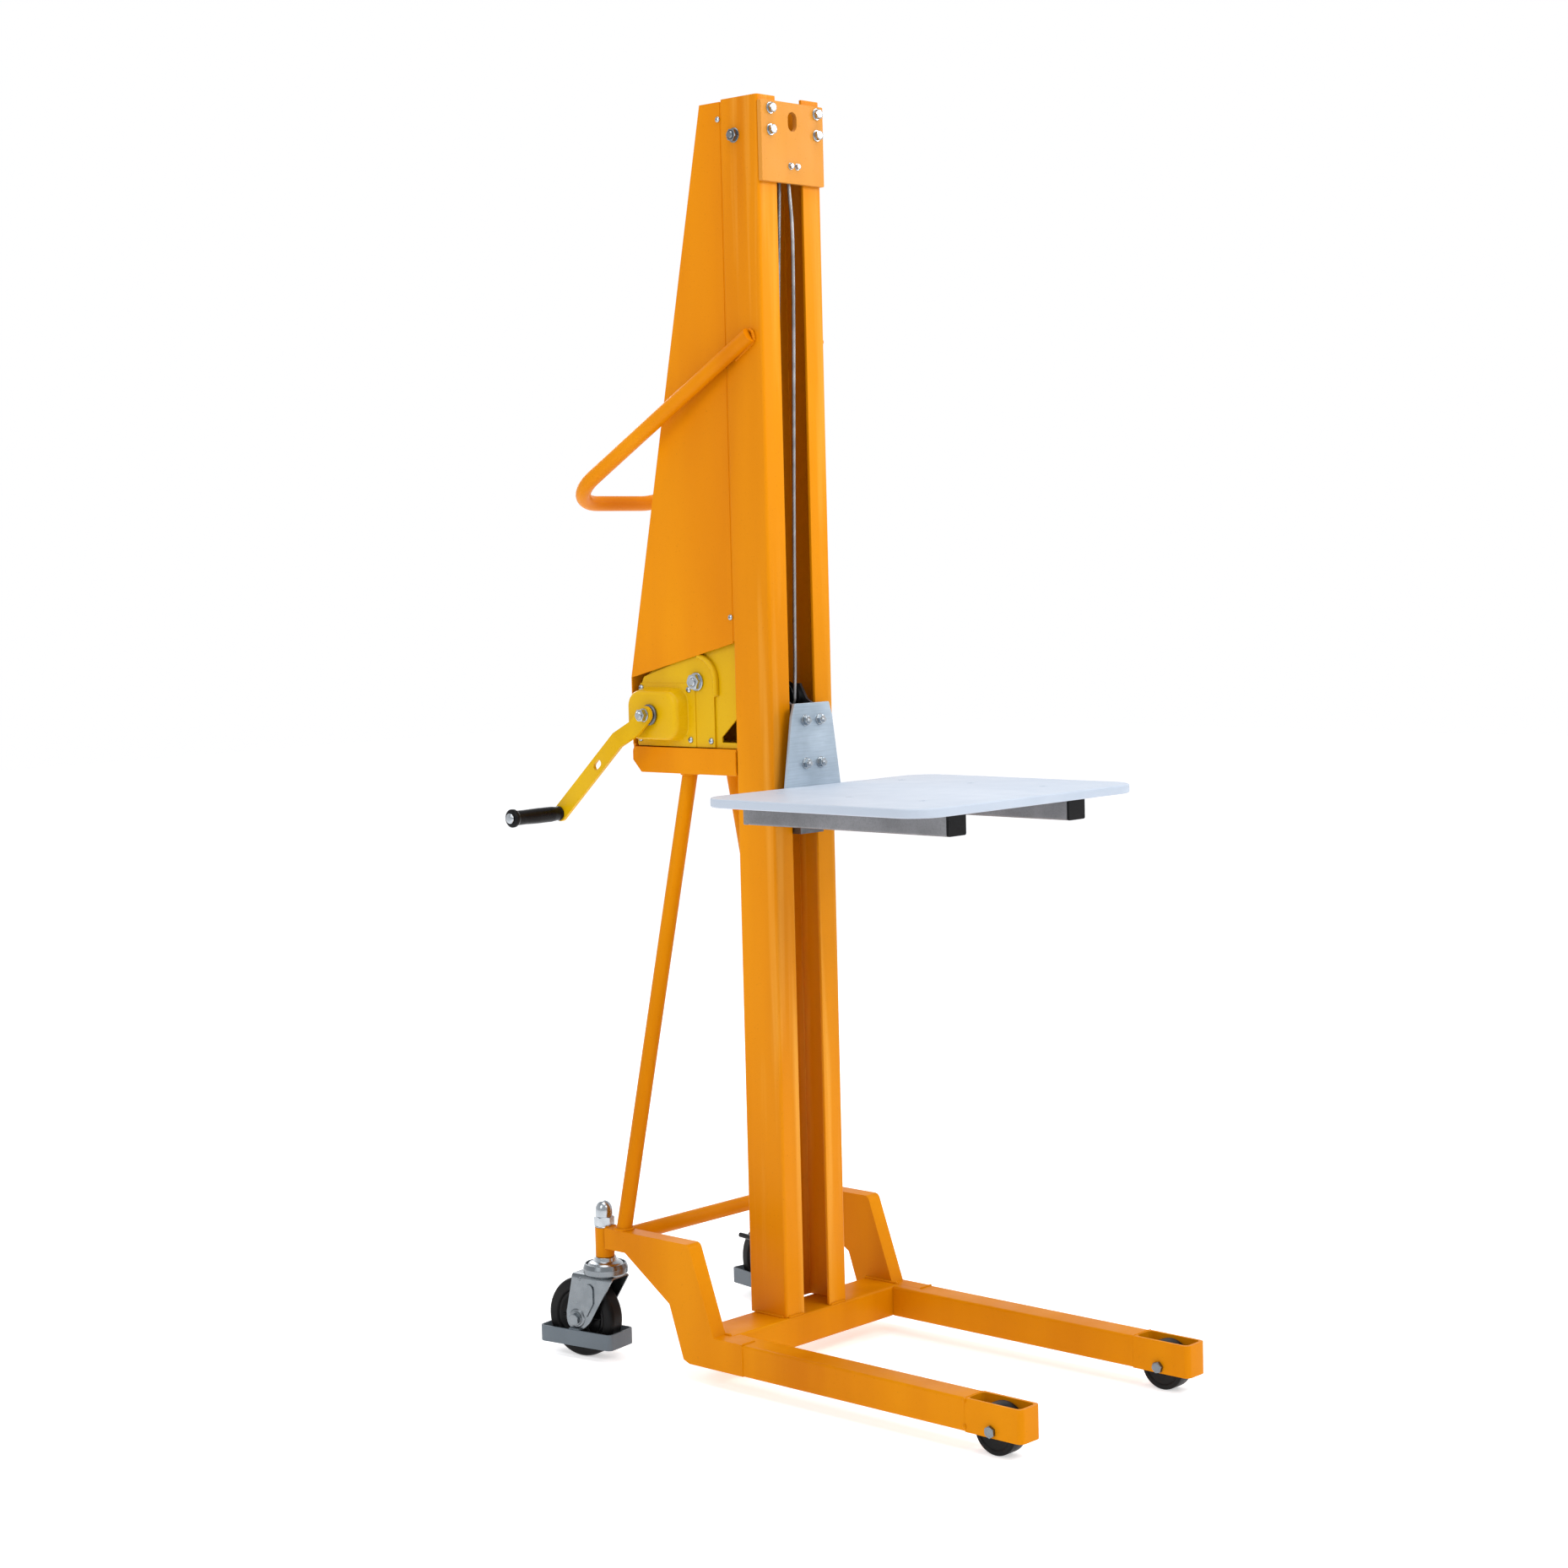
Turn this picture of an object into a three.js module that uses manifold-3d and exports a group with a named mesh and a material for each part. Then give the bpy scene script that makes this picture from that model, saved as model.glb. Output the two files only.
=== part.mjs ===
// Hand winch platform stacker: an orange mast on straddling legs, a rope hoist with a crank at the back,
// and a roller carriage that carries a flat platform. Millimetres, +Z up, forks towards -Y, floor at Z = 0.
import * as THREE from 'three';
import { mergeVertices } from 'three/addons/utils/BufferGeometryUtils.js';
import Module from 'manifold-3d';

const wasm = await Module();
wasm.setup();

// ---------------------------------------------------------------- driving dimensions
const CENTRE_SHIFT = 70.9; // moves the mast face off Y = 0 so the base is centred on the origin
const GAP = 0.3; // running gap between a pin and its bore

const MAST_TOP = 2000;
const MAST_FOOT = 78;
const MAST_DEPTH = 80;
const CHANNEL_HALF = 72; // outer face of each channel web
const SLOT_HALF = 30; // half the slot between the channel flanges
const CHANNEL_WALL = 5;

const BEAM = { half: 199.5, front: -4, back: 72, low: 28, high: 78 };
const LEG = { inner: 182, outer: 228, front: -491, shoulder: -50, back: -4 };
const TIP_FRONT = -594;
const LOAD_WHEEL = { x: 205, y: -538.5, radius: 37.5, width: 30 };

const NECK = { inner: 199.5, outer: 227.5 };
const CASTER = { x: 213.8, y: 266, yaw: 9, radius: 65, width: 32, trail: 43 };
const SLEEVE = { radius: 15.5, low: 168, high: 216 };

const TOP_PLATE = { half: 71, low: 1867, high: 1991, thick: 8 };
const TOP_SHEAVE = { y: 50, z: 1942, rope: 30 };
const CARRIAGE_SHEAVE = { y: 37, z: 1066, rope: 20 };
const ROPE_RADIUS = 3;
const ANCHOR = { y: 4, z: 1879.7 };

const DRUM = { y: 168, z: 1091, rope: 35 };
const CRANK = { y: 250, z: 1038, radius: 250, droop: 41.5 };
const GEAR_MODULE = 5;
const GEAR_TEETH = 24;
const PINION_TEETH = 15;
const GEAR_PLANE = [-50, -38];

const SHELF = { front: 80, back: 315, low: 942, high: 984, sheet: 3 };
const HANDLE = { weldX: 78.3, weldY: 21.3, weldZ: 1632, fall: 33, length: 456, splay: 0.1, bend: 66 };
const TUBE = 12.5; // outer radius of the handle, strut and cross tubes

const PLATFORM = { half: 265, front: -465, back: -20.5, low: 912, high: 926, corner: 50 };
const ROLLER = { y: 40, high: 1010, low: 890, radius: 34, inner: 34, outer: 62 };

// ---------------------------------------------------------------- finishes
const finish = (color, roughness, metalness) => () => (
  new THREE.MeshStandardMaterial({ color, roughness, metalness })
);
const ORANGE = finish(0xe8890c, 0.38, 0.1);
const YELLOW = finish(0xe2b216, 0.42, 0.1);
const ZINC = finish(0xb9bec4, 0.32, 0.9);
const STEEL = finish(0x8c9096, 0.38, 0.9);
const PALE_PLATE = finish(0xb4c1cc, 0.45, 0.6);
const GREY_PAINT = finish(0x6d7074, 0.5, 0.2);
const SLATE = finish(0x5f676e, 0.5, 0.3);
const BLACK_PLASTIC = finish(0x1b1b1d, 0.5, 0);
const TYRE = finish(0x161617, 0.62, 0);
const PALE_TOP = finish(0xdfe7f0, 0.25, 0);
const ROPE_FINISH = finish(0x9b9da0, 0.45, 0.8);

// ---------------------------------------------------------------- solids from three.js shapes
/** Turns a closed three.js geometry into a boolean solid with its faces outwards. */
function solid(geometry) {
  const bare = geometry.clone();
  bare.deleteAttribute('normal');
  bare.deleteAttribute('uv');
  const welded = mergeVertices(bare, 1e-4);
  const points = welded.attributes.position.array;
  const triangles = [];
  let volume = 0;
  const corner = (index) => new THREE.Vector3().fromArray(points, index * 3);
  for (let i = 0; i < welded.index.count; i += 3) {
    const [a, b, c] = [0, 1, 2].map((k) => welded.index.getX(i + k));
    if (a === b || b === c || c === a) continue;
    triangles.push([a, b, c]);
    volume += corner(a).dot(corner(b).cross(corner(c)));
  }
  const order = volume < 0 ? triangles.map(([a, b, c]) => [a, c, b]) : triangles;
  return new wasm.Manifold(new wasm.Mesh({
    numProp: 3,
    vertProperties: new Float32Array(points),
    triVerts: new Uint32Array(order.flat()),
  }));
}

/** One solid out of several touching ones. */
function join(...parts) {
  return parts.reduce((whole, next) => whole.add(next));
}

/** A solid with others taken out of it. */
function cut(body, ...tools) {
  return tools.reduce((rest, tool) => rest.subtract(tool), body);
}

/** Straight extrusion of an outline between two stations along an axis; it is y,z or x,z or x,y. */
function prism(axis, outline, from, to, holes = []) {
  const shape = new THREE.Shape(outline.map(([u, v]) => new THREE.Vector2(u, v)));
  for (const hole of holes) shape.holes.push(new THREE.Path(hole.map(([u, v]) => new THREE.Vector2(u, v))));
  const geometry = new THREE.ExtrudeGeometry(shape, { depth: to - from, bevelEnabled: false });
  const place = new THREE.Matrix4();
  if (axis === 'x') place.set(0, 0, 1, from, 1, 0, 0, 0, 0, 1, 0, 0, 0, 0, 0, 1);
  if (axis === 'y') place.set(1, 0, 0, 0, 0, 0, -1, to, 0, 1, 0, 0, 0, 0, 0, 1);
  if (axis === 'z') place.makeTranslation(0, 0, from);
  return solid(geometry.applyMatrix4(place));
}

function box(x, y, z) {
  const geometry = new THREE.BoxGeometry(x[1] - x[0], y[1] - y[0], z[1] - z[0]);
  return solid(geometry.translate((x[0] + x[1]) / 2, (y[0] + y[1]) / 2, (z[0] + z[1]) / 2));
}

function disc(u, v, radius, sides = 16) {
  const outline = [];
  for (let i = 0; i < sides; i += 1) {
    const angle = (2 * Math.PI * (i + 0.5)) / sides;
    outline.push([u + radius * Math.cos(angle), v + radius * Math.sin(angle)]);
  }
  return outline;
}

/** Round bar or bore along an axis. */
function bar(axis, u, v, radius, from, to, sides = 12) {
  return prism(axis, disc(u, v, radius, sides), from, to);
}

/** Six-sided head along an axis. */
function hex(axis, u, v, acrossFlats, from, to) {
  return prism(axis, disc(u, v, acrossFlats / Math.sqrt(3), 6), from, to);
}

/** Outline with its corners rounded: each corner is u, v and an optional radius. */
function rounded(corners, steps = 3) {
  const outline = [];
  corners.forEach(([u, v, radius], i) => {
    if (!radius) {
      outline.push([u, v]);
      return;
    }
    const here = new THREE.Vector2(u, v);
    const before = corners.at(i - 1);
    const after = corners[(i + 1) % corners.length];
    const back = new THREE.Vector2(before[0], before[1]).sub(here).normalize();
    const on = new THREE.Vector2(after[0], after[1]).sub(here).normalize();
    const half = Math.acos(THREE.MathUtils.clamp(back.dot(on), -1, 1)) / 2;
    const centre = back.clone().add(on).normalize().multiplyScalar(radius / Math.sin(half)).add(here);
    const start = back.multiplyScalar(radius / Math.tan(half)).add(here).sub(centre);
    const end = on.multiplyScalar(radius / Math.tan(half)).add(here).sub(centre);
    const from = start.angle();
    let sweep = end.angle() - from;
    if (sweep > Math.PI) sweep -= 2 * Math.PI;
    if (sweep < -Math.PI) sweep += 2 * Math.PI;
    for (let k = 0; k <= steps; k += 1) {
      const angle = from + (sweep * k) / steps;
      outline.push([centre.x + radius * Math.cos(angle), centre.y + radius * Math.sin(angle)]);
    }
  });
  return outline;
}

function roundedBox(u, v, radius, steps = 3) {
  const [[left, right], [low, high]] = [u, v];
  const corners = [[left, low], [right, low], [right, high], [left, high]];
  return rounded(corners.map(([a, b]) => [a, b, radius]), steps);
}

/** Outline moved inwards by a sheet thickness; the outline runs anticlockwise. */
function inset(outline, distance) {
  const count = outline.length;
  const edge = (i) => {
    const [a, b] = [outline[(i + count) % count], outline[(i + 1) % count]];
    const run = Math.hypot(b[0] - a[0], b[1] - a[1]);
    const normal = [-(b[1] - a[1]) / run, (b[0] - a[0]) / run];
    return { normal, offset: normal[0] * a[0] + normal[1] * a[1] + distance };
  };
  return outline.map((_, i) => {
    const [p, q] = [edge(i - 1), edge(i)];
    const cross = p.normal[0] * q.normal[1] - p.normal[1] * q.normal[0];
    return [
      (p.offset * q.normal[1] - q.offset * p.normal[1]) / cross,
      (q.offset * p.normal[0] - p.offset * q.normal[0]) / cross,
    ];
  });
}

/** Solid of revolution about an axis line; the profile lists radius and station along it. */
function turned(axis, u, v, profile, sides = 20) {
  const geometry = new THREE.LatheGeometry(profile.map(([r, h]) => new THREE.Vector2(r, h)), sides);
  const place = new THREE.Matrix4();
  if (axis === 'x') place.set(0, 1, 0, 0, 0, 0, 1, u, 1, 0, 0, v, 0, 0, 0, 1);
  if (axis === 'z') place.set(0, 0, 1, u, 1, 0, 0, v, 0, 1, 0, 0, 0, 0, 0, 1);
  return solid(geometry.applyMatrix4(place));
}

/** Ring-shaped profile of a wheel, roller or sheave: the bore is closed off by the last point. */
function ringProfile(bore, rest) {
  const first = [bore, rest[0][1]];
  return [first, ...rest, [bore, rest.at(-1)[1]], first];
}

/** Path that keeps its own points as stations, for an extrusion that follows straights and bends. */
class BendPath extends THREE.Curve {
  constructor(points) {
    super();
    this.points = points;
  }

  getPoint(t, target = new THREE.Vector3()) {
    const place = THREE.MathUtils.clamp(t, 0, 1) * (this.points.length - 1);
    const i = Math.min(Math.floor(place), this.points.length - 2);
    return target.lerpVectors(this.points[i], this.points[i + 1], place - i);
  }

  getUtoTmapping(u) {
    return u;
  }
}

/** Points along a bent line: corners given as vectors, each inner one rounded to the bend radius. */
function bendLine(corners, radius, steps = 5) {
  const line = [corners[0]];
  for (let i = 1; i < corners.length - 1; i += 1) {
    const into = corners[i].clone().sub(corners[i - 1]).normalize();
    const out = corners[i + 1].clone().sub(corners[i]).normalize();
    const turn = into.angleTo(out);
    const reach = radius * Math.tan(turn / 2);
    const start = corners[i].clone().addScaledVector(into, -reach);
    const side = out.clone().addScaledVector(into, -out.dot(into)).normalize();
    for (let k = 0; k <= steps; k += 1) {
      const angle = (turn * k) / steps;
      const point = start.clone().addScaledVector(into, radius * Math.sin(angle));
      line.push(point.addScaledVector(side, radius * (1 - Math.cos(angle))));
    }
  }
  line.push(corners.at(-1));
  return line;
}

/** Round tube or rod along a line of points; an inner radius makes it hollow from end to end. */
function pipe(line, outer, inner = 0, sides = 12) {
  const ring = (radius) => disc(0, 0, radius, sides).map(([u, v]) => new THREE.Vector2(u, v));
  const shape = new THREE.Shape(ring(outer));
  if (inner) shape.holes.push(new THREE.Path(ring(inner)));
  const path = { steps: line.length - 1, bevelEnabled: false, extrudePath: new BendPath(line) };
  return solid(new THREE.ExtrudeGeometry(shape, path));
}

const at = (x, y, z) => new THREE.Vector3(x, y, z);

// ---------------------------------------------------------------- the group and its pieces
const group = new THREE.Group();
group.name = 'platform_stacker';
group.position.set(0, CENTRE_SHIFT, 0);

function piece(name, body, material) {
  const { vertProperties, triVerts } = body.getMesh();
  const geometry = new THREE.BufferGeometry();
  geometry.setAttribute('position', new THREE.BufferAttribute(new Float32Array(vertProperties), 3));
  geometry.setIndex(new THREE.BufferAttribute(new Uint32Array(triVerts), 1));
  geometry.computeVertexNormals();
  const mesh = new THREE.Mesh(geometry, material());
  mesh.name = name;
  group.add(mesh);
}

/** The same piece on both sides; the operator behind the mast has +X on the left. */
function pair(name, body, material) {
  piece(`left_${name}`, body, material);
  piece(`right_${name}`, body.mirror([1, 0, 0]), material);
}

// ---------------------------------------------------------------- base frame
function leg() {
  const { inner, outer, front, shoulder, back } = LEG;
  const section = roundedBox([inner, outer], [BEAM.low, BEAM.high], 4, 3);
  const hollow = roundedBox([inner + 4, outer - 4], [BEAM.low + 4, BEAM.high - 4], 1.5, 1);
  const tube = prism('y', section, front, back, [hollow]);
  const notch = box([NECK.inner, outer + 1], [shoulder, back + 1], [BEAM.low - 1, BEAM.high + 1]);
  return cut(tube, notch);
}

function forkTip() {
  const { inner, outer, front } = LEG;
  const outline = rounded([[inner, front], [inner, TIP_FRONT, 9], [outer, TIP_FRONT, 9], [outer, front]]);
  const pocket = roundedBox([187, 223.5], [-588, -494], 7);
  const bore = bar('x', LOAD_WHEEL.y, LOAD_WHEEL.radius, 6 + GAP, inner - 5, outer + 5);
  return cut(prism('z', outline, BEAM.low, BEAM.high, [pocket]), bore);
}

function loadWheel() {
  const { x, y, radius, width } = LOAD_WHEEL;
  const [a, b] = [x - width / 2, x + width / 2];
  const profile = ringProfile(6.4, [
    [radius - 3, a], [radius, a + 3], [radius, b - 3], [radius - 3, b],
  ]);
  return turned('x', y, radius, profile, 28);
}

function loadAxle() {
  const { y, radius } = LOAD_WHEEL;
  const shank = bar('x', y, radius, 6, LEG.inner - 8, LEG.outer + 4);
  const head = hex('x', y, radius, 16, LEG.outer, LEG.outer + 5);
  const nut = hex('x', y, radius, 16, LEG.inner - 6, LEG.inner);
  return join(shank, head, nut);
}

const NECK_OUTLINE = [
  [-50, 28], [66, 28], [79, 33], [107.6, 117], [206, 184], [252, 184],
  [252, 218], [62, 218], [12, 78], [-50, 78],
];

function gooseneck() {
  const { inner, outer } = NECK;
  const corners = NECK_OUTLINE.map(([y, z]) => (z === 218 && y === 62 ? [y, z, 10] : [y, z]));
  const shell = prism('x', rounded(corners), inner, outer);
  const hollow = prism('x', inset(NECK_OUTLINE, 4), inner + 4, outer - 4);
  const drain = bar('z', (inner + outer) / 2, 10, 4, 20, 40, 12);
  const sleeveSeat = bar('z', CASTER.x, CASTER.y, SLEEVE.radius + GAP, 160, 230, 24);
  return cut(shell, hollow, drain, sleeveSeat);
}

function casterSleeve() {
  const outline = disc(CASTER.x, CASTER.y, SLEEVE.radius, 24);
  return prism('z', outline, SLEEVE.low, SLEEVE.high, [disc(CASTER.x, CASTER.y, 9 + 2 * GAP, 20)]);
}

function crossbeam() {
  const { half, front, back, low, high } = BEAM;
  const hollow = roundedBox([front + 4, back - 4], [low + 4, high - 4], 1.5, 1);
  return prism('x', roundedBox([front, back], [low, high], 4, 3), -half, half, [hollow]);
}

/** Strut from the underside of the winch shelf out to the top of a gooseneck. */
function strut() {
  const [top, foot] = [at(50, 205, SHELF.low), at(213.5, 220, 218)];
  const run = top.clone().sub(foot).normalize().multiplyScalar(20);
  const tube = pipe([foot.clone().sub(run), top.clone().add(run)], TUBE, TUBE - 2, 16);
  return tube.intersect(box([0, 300], [100, 300], [218, SHELF.low]));
}

pair('leg', leg(), ORANGE);
pair('fork_tip', forkTip(), ORANGE);
pair('load_axle', loadAxle(), ZINC);
pair('load_wheel', loadWheel(), TYRE);
pair('gooseneck', gooseneck(), ORANGE);
pair('caster_sleeve', casterSleeve(), ORANGE);
pair('strut', strut(), ORANGE);
piece('crossbeam', crossbeam(), ORANGE);
const crossTubeLine = [at(-NECK.inner, 228, 205), at(NECK.inner, 228, 205)];
piece('rear_cross_tube', pipe(crossTubeLine, TUBE, TUBE - 2, 16), ORANGE);

// ---------------------------------------------------------------- mast
function upright() {
  const [out, wall] = [CHANNEL_HALF, CHANNEL_WALL];
  const section = rounded([
    [out, 0, 5], [out, MAST_DEPTH, 5], [SLOT_HALF, MAST_DEPTH], [SLOT_HALF, MAST_DEPTH - wall],
    [out - wall, MAST_DEPTH - wall, 1.5], [out - wall, wall, 1.5], [SLOT_HALF, wall], [SLOT_HALF, 0],
  ], 3);
  const axleBore = bar('x', TOP_SHEAVE.y, TOP_SHEAVE.z, 7 + GAP, out - 10, out + 10);
  return cut(prism('z', section, MAST_FOOT, MAST_TOP), axleBore);
}

function topPlate() {
  const { half, low, high, thick } = TOP_PLATE;
  const slot = roundedBox([-10, 10], [TOP_SHEAVE.z + 5, TOP_SHEAVE.z + 35], 9.9, 6);
  return prism('y', roundedBox([-half, half], [low, high], 2, 2), -thick, 0, [slot]);
}

function sheave(spot, x, half) {
  const rim = spot.rope + 4;
  const floor = spot.rope - ROPE_RADIUS - 0.6;
  return turned('x', spot.y, spot.z, ringProfile(7.4, [
    [rim, x - half], [rim, x - half + 1.5], [floor, x - 1.6], [floor, x + 1.6],
    [rim, x + half - 1.5], [rim, x + half],
  ]), 24);
}

function topSheaveAxle() {
  const { y, z } = TOP_SHEAVE;
  const shank = bar('x', y, z, 7, -CHANNEL_HALF - 11, CHANNEL_HALF + 6);
  const spacers = [[-66.5, -7.8], [7.8, 66.5]].map(([a, b]) => bar('x', y, z, 10, a, b));
  const head = hex('x', y, z, 19, CHANNEL_HALF, CHANNEL_HALF + 8);
  const nut = hex('x', y, z, 19, -CHANNEL_HALF - 9, -CHANNEL_HALF);
  return join(shank, ...spacers, head, nut);
}

pair('upright', upright(), ORANGE);
piece('top_plate', topPlate(), ORANGE);
piece('top_sheave', sheave(TOP_SHEAVE, 0, 7.5), STEEL);
piece('top_sheave_axle', topSheaveAxle(), ZINC);
piece('rope_anchor', box([-14, 14], [0, 9], [1880, 1906]), ZINC);

// ---------------------------------------------------------------- rope guard, shelf and push handle
const GUARD = { half: 72, sheet: 2, top: 1997, ridge: 124, low: 1096.5, lip: 1153.2, heel: 313.6, foot: 987 };

function ropeGuard() {
  const { half, sheet, top, ridge, low, lip, heel, foot } = GUARD;
  const cheek = [[MAST_DEPTH, lip], [heel, low], [ridge, top], [MAST_DEPTH, top]];
  const back = [
    [ridge - sheet, top], [heel - sheet, low], [heel - sheet, foot], [heel, foot], [heel, low], [ridge, top],
  ];
  return join(
    prism('x', cheek, half - sheet, half),
    prism('x', cheek, -half, sheet - half),
    prism('x', back, -half, half),
    box([-half, half], [MAST_DEPTH, ridge], [top - sheet, top]),
  );
}

function winchShelf() {
  const { front, back, low, high, sheet } = SHELF;
  const outer = rounded([[front, low], [back - 19, low], [back, low + 20], [back, high, 8], [front, high]]);
  const inner = inset([
    [front - 20, low], [back - 19, low], [back, low + 20], [back, high], [front - 20, high],
  ], sheet);
  return cut(
    prism('x', outer, -CHANNEL_HALF, CHANNEL_HALF),
    prism('x', inner, sheet - CHANNEL_HALF, CHANNEL_HALF - sheet),
  );
}

/** Bent tube whose ends are cut to lie against the outer faces of the channels. */
function pushHandle() {
  const { weldX, weldY, weldZ, fall, length, splay, bend } = HANDLE;
  const [down, back] = [Math.sin(THREE.MathUtils.degToRad(fall)), Math.cos(THREE.MathUtils.degToRad(fall))];
  const spot = (side, v) => at(side * (weldX + splay * v), weldY + v * back, weldZ - v * down);
  const line = bendLine([spot(-1, 0), spot(-1, length), spot(1, length), spot(1, 0)], bend);
  const face = CHANNEL_HALF + GAP;
  const mastRoom = box([-face, face], [0, MAST_DEPTH + GAP], [weldZ - 120, weldZ + 40]);
  return cut(pipe(line, TUBE, TUBE - 2, 14), mastRoom);
}

piece('rope_guard', ropeGuard(), ORANGE);
piece('winch_shelf', winchShelf(), ORANGE);
piece('push_handle', pushHandle(), ORANGE);

// ---------------------------------------------------------------- winch
/** Spur gear outline with thin tapered teeth, one tooth centred on the given angle. */
function gearOutline(u, v, teeth, phase) {
  const pitch = (GEAR_MODULE * teeth) / 2;
  const step = (2 * Math.PI) / teeth;
  const outline = [];
  for (let i = 0; i < teeth; i += 1) {
    const middle = phase + i * step;
    for (const [share, reach] of [[-0.24, -5.4], [-0.13, 3.6], [0.13, 3.6], [0.24, -5.4]]) {
      const angle = middle + share * step;
      outline.push([u + (pitch + reach) * Math.cos(angle), v + (pitch + reach) * Math.sin(angle)]);
    }
  }
  return outline;
}

const MESH_ANGLE = Math.atan2(CRANK.z - DRUM.z, CRANK.y - DRUM.y);

function winchFrame() {
  const cheek = rounded([
    [84, 1033], [118, 1003], [118, 994], [84, 994], [84, 985], [306, 985], [306, 1066, 6],
    [290, 1098, 6], [206, 1146], [150, 1166], [84, 1166],
  ], 3);
  const drumBore = disc(DRUM.y, DRUM.z, 10 + 2 * GAP);
  const crankBore = disc(CRANK.y, CRANK.z, 10 + 2 * GAP);
  return join(
    prism('x', cheek, 60, 63, [drumBore, crankBore]),
    prism('x', cheek, -63, -60, [drumBore, crankBore]),
    box([-63, 63], [84, 306], [985, 988]),
    box([-61, 61], [288, 294], [1072, 1084]),
  );
}

/** Pressed cover on the crank side: an arched flange with a raised gear pocket. */
function gearCover() {
  const arch = [];
  for (let i = 0; i <= 10; i += 1) {
    const angle = Math.PI / 2 + (i * Math.PI) / 20;
    arch.push([DRUM.y + 47 * Math.cos(angle), DRUM.z + 47 * Math.sin(angle)]);
  }
  const outline = rounded([...arch, [121, 985.4], [306, 985.4, 3], [306, 1066, 6], [290, 1098, 6]], 3);
  const plate = prism('x', outline, -67.3, -63.3);
  const pocketOut = roundedPocket(-94, 187, 306, 995, 1077, 14, 18);
  const pocketIn = roundedPocket(-92, 189.5, 303.5, 997.5, 1074.5, 12, 18);
  const drumBore = bar('x', DRUM.y, DRUM.z, 10 + 2 * GAP, -100, -60, 16);
  const crankBore = bar('x', CRANK.y, CRANK.z, 10 + 2 * GAP, -100, -60, 16);
  return cut(join(plate, pocketOut), pocketIn, drumBore, crankBore);
}

/** Raised pocket whose walls lean in towards its face, from the cover plate out to a face at x. */
function roundedPocket(face, y0, y1, z0, z1, lean, radius) {
  const outlineAt = (t) => roundedBox([y0 + lean * t, y1 - lean * t], [z0 + 5 * t, z1 - 9 * t], radius, 3);
  const stations = [[-63.3, 0], [-66, 0], [face + 8, 0.55], [face + 2.5, 0.85], [face, 1.2]];
  const rings = stations.map(([x, t]) => outlineAt(t).map(([y, z]) => [x, y, z]));
  const positions = rings.flat(2);
  const count = rings[0].length;
  const index = [];
  for (let k = 0; k < rings.length - 1; k += 1) {
    for (let i = 0; i < count; i += 1) {
      const [a, b] = [k * count + i, k * count + ((i + 1) % count)];
      index.push(a, b, b + count, a, b + count, a + count);
    }
  }
  for (let i = 1; i < count - 1; i += 1) {
    index.push(0, i + 1, i);
    const last = (rings.length - 1) * count;
    index.push(last, last + i, last + i + 1);
  }
  const geometry = new THREE.BufferGeometry();
  geometry.setAttribute('position', new THREE.Float32BufferAttribute(positions, 3));
  geometry.setIndex(index);
  return solid(geometry);
}

function ropeDrum() {
  const core = DRUM.rope - ROPE_RADIUS - 0.5;
  const spool = turned('x', DRUM.y, DRUM.z, [
    [0, -30], [50, -30], [50, -27], [core, -26], [core, 26], [50, 27], [50, 30], [0, 30],
  ], 24);
  const wheel = prism('x', gearOutline(DRUM.y, DRUM.z, GEAR_TEETH, MESH_ANGLE), ...GEAR_PLANE);
  return join(
    spool,
    wheel,
    bar('x', DRUM.y, DRUM.z, 16, -52, -28),
    bar('x', DRUM.y, DRUM.z, 10, -76, 72, 16),
    bar('x', DRUM.y, DRUM.z, 15, -70, -67.6, 16),
    hex('x', DRUM.y, DRUM.z, 24, -80, -70),
    hex('x', DRUM.y, DRUM.z, 24, 63.3, 71),
  );
}

function pinionShaft() {
  const { y, z } = CRANK;
  const phase = MESH_ANGLE + Math.PI + Math.PI / PINION_TEETH;
  return join(
    bar('x', y, z, 10, -101.7, 70, 16),
    prism('x', gearOutline(y, z, PINION_TEETH, phase), GEAR_PLANE[0] - 2, GEAR_PLANE[1] + 2),
    bar('x', y, z, 17, -101.7, -94.4, 16),
    bar('x', y, z, 8, -112, -100),
    bar('x', y, z, 14, -110.4, -108.3, 16),
    hex('x', y, z, 22, -119, -110.2),
    bar('x', y, z, 8.5, -123, -118),
    hex('x', y, z, 24, 63.3, 69),
  );
}

/** Crank arm along +Y with a joggle near its hub, then turned down about the crank shaft. */
function crankArm() {
  const { y, z, radius, droop } = CRANK;
  const side = [
    [-16, -102], [34, -102], [62, -121], [263, -121], [263, -127], [60, -127], [32, -108], [-16, -108],
  ];
  const blank = prism('z', side.map(([s, x]) => [x, s]), -15, 15);
  const strip = rounded([[-15, -14, 13.9], [262, -14, 12], [262, 14, 12], [-15, 14, 13.9]], 4);
  const plan = prism('x', strip, -130, -95);
  const bores = [
    bar('x', 0, 0, 8 + 2 * GAP, -130, -95),
    prism('x', roundedBox([114, 134], [-6, 6], 5.9), -130, -95),
  ];
  const pin = bar('x', radius, 0, 5, -236.5, -120);
  const pinHead = bar('x', radius, 0, 8.5, -240, -235.4);
  const flat = join(cut(blank.intersect(plan), ...bores), pin, pinHead);
  return flat.rotate([-droop, 0, 0]).translate([0, y, z]);
}

function crankGrip() {
  const droop = THREE.MathUtils.degToRad(CRANK.droop);
  const [y, z] = [CRANK.y + CRANK.radius * Math.cos(droop), CRANK.z - CRANK.radius * Math.sin(droop)];
  return turned('x', y, z, ringProfile(5.4, [
    [13, -235], [15, -232], [15, -228], [12.4, -222], [12.8, -180],
    [12.6, -140], [10.5, -127.4],
  ]), 16);
}

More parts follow.
